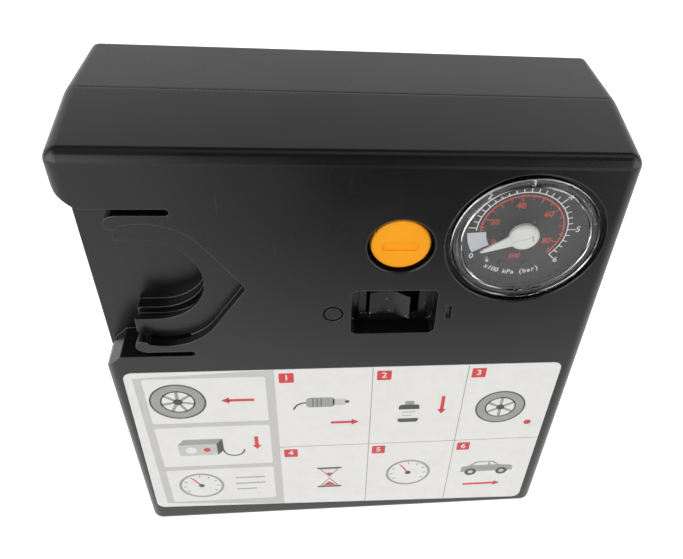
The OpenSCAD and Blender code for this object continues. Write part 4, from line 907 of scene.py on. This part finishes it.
def drawLabel():
    art = Print()
    low, high = (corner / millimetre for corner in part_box("instruction_label"))
    left, right, top = low.x + labelLook["lean"], high.x, high.z
    panelRight = labelLook["panelRight"]

    def foot(x):
        # the lower edge climbs a little to the left
        return low.z + (right - x) * labelLook["rise"] / (right - low.x)

    drawPanel(art, left, panelRight, top, foot)
    drawSteps(art, (panelRight, *labelLook["columnEdges"], right), top, foot)
    inks = [inkFinishes[key] for key in ("paper", "panel", "tag", "mid", "dark")]
    art.standAt("label_print", Vector((0, low.y * millimetre, 0)), inks, "housing")


drawLabel()
print("label printed")


# floor and sky: bright screens behind and at both front corners, a dark middle and one strip overhead;
# a pair of values is mostly where a fade starts and ends
studio = {
    "behind": 0.84, "behindTop": (0.54, 0.86), "behindBow": 0.3, "ceiling": 0.02, "backdropFade": 0.1,
    "strip": 1.6, "stripAngle": 1.46, "stripEdge": (0.11, 0.11 / 3), "stripAcross": (-0.25, 0.35),
    "stripShare": (0.5, 1.0),
    "left": 3.2, "leftFrom": (-0.15, -0.42), "right": 2.4, "rightFrom": (0.32, 0.62),
    "sideFront": (0.1, -0.2), "sideTop": (0.9, 0.6), "throughGlass": 0.2,
    "floorHalf": 4, "floorColour": (0.8557, 0.86), "floorMottle": 6.0, "floorLevel": (0.3, 0.7),
    # the floor in mirrors is a painted reflection, darkened near the shade spot
    "floorLift": 0.75, "floorPaintedReflection": (0.03, 1.14),
    "shadeSpot": (0.09, -0.36), "shadeReach": (0.085, 0.26),
}


def pathKinds(graph, *kinds):
    # 1 for rays of these kinds
    path = graph.node("ShaderNodeLightPath")
    total = Wire(graph, path.outputs[kinds[0]])
    for kind in kinds[1:]:
        total = total + Wire(graph, path.outputs[kind])
    return total


def axes(graph):
    split = graph.node("ShaderNodeSeparateXYZ", {}, {"Vector": graph.spot})
    return [Wire(graph, split.outputs[index]) for index in range(3)]


def addFloor():
    # pale paper; mirrored, it is a painted reflection with painted shade of whoever stands in front
    floor = Graph(bpy.data.materials.new("floorPaper"), "Object")
    mottle = floor.noise(studio["floorMottle"], detail=3.0)
    tone = floor.ramp(mottle, *studio["floorLevel"], *studio["floorColour"])
    paperShader = floor.node("ShaderNodeBsdfDiffuse", {}, {"Color": tone})
    seen = pathKinds(floor, "Is Camera Ray", "Is Transmission Ray")
    glow = floor.node("ShaderNodeEmission", {}, {"Strength": seen * studio["floorLift"]})
    paperAndGlow = floor.node("ShaderNodeAddShader", {}, {
        0: paperShader.outputs["BSDF"], 1: glow.outputs["Emission"]})
    across, back = axes(floor)[:2]
    spotX, spotY = studio["shadeSpot"]
    side, behindSpot = across - spotX, (back - spotY).atLeast(0)
    away = (side * side + behindSpot * behindSpot).root()
    # painted reflection: mirror rays see a glow that fades to painted shade near the spot
    paintedReflectionLevel = floor.ramp(away, *studio["shadeReach"], *studio["floorPaintedReflection"], "LINEAR")
    paintedReflectionGlow = floor.node("ShaderNodeEmission", {}, {"Strength": paintedReflectionLevel})
    inMirror = pathKinds(floor, "Is Glossy Ray") > pathKinds(floor, "Is Transmission Ray")
    both = floor.node("ShaderNodeMixShader", {}, {
        0: inMirror, 1: paperAndGlow.outputs["Shader"], 2: paintedReflectionGlow.outputs["Emission"]})
    floor.node("ShaderNodeOutputMaterial", {}, {"Surface": both.outputs["Shader"]})
    bm = bmesh.new()
    bmesh.ops.create_grid(bm, x_segments=8, y_segments=8, size=studio["floorHalf"])
    mesh = bpy.data.meshes.new("floor")
    bm.to_mesh(mesh)
    bm.free()
    mesh.materials.append(floor.holder)
    ground = bpy.data.objects.new("floor", mesh)
    bpy.context.scene.collection.objects.link(ground)


def addSky():
    # brightness by direction: tilt runs from 0 behind the object over the top to pi in front of it
    world = bpy.data.worlds.new("studio")
    bpy.context.scene.world = world
    sky = Graph(world, "Generated")
    across, back, up = axes(sky)
    tilt = up.angleFrom(back)
    bowed = tilt - abs(across) * studio["behindBow"]
    behind = sky.ramp(bowed, *studio["behindTop"], studio["behind"], studio["ceiling"])
    strip = sky.ramp(abs(tilt - studio["stripAngle"]), *studio["stripEdge"], 0.0, studio["strip"])
    stripShare = sky.ramp(across, *studio["stripAcross"], *studio["stripShare"])
    left = sky.ramp(across, *studio["leftFrom"], 0.0, studio["left"])
    right = sky.ramp(across, *studio["rightFrom"], 0.0, studio["right"])
    corner = sky.ramp(back, *studio["sideFront"]) * sky.ramp(up, *studio["sideTop"])
    shine = behind + strip * stripShare + (left + right) * corner
    backdropTop = studio["behindTop"][1]
    backdrop = sky.ramp(bowed, backdropTop + studio["backdropFade"], backdropTop)
    glass = pathKinds(sky, "Is Transmission Ray")
    plain = pathKinds(sky, "Is Camera Ray") + glass * backdrop
    # what the eye sees through the lens is dimmed, what lights the dial through it isn't
    seenThrough = glass * (pathKinds(sky, "Diffuse Depth") < 0.5)
    strength = plain + (1 - plain) * shine * (1 - seenThrough * (1 - studio["throughGlass"]))
    glow = sky.node("ShaderNodeBackground", {}, {"Color": (1, 1, 1, 1), "Strength": strength})
    sky.node("ShaderNodeOutputWorld", {}, {"Surface": glow.outputs["Background"]})


addFloor()
addSky()
bpy.context.scene.view_settings.view_transform = "Standard"
print("studio lit")
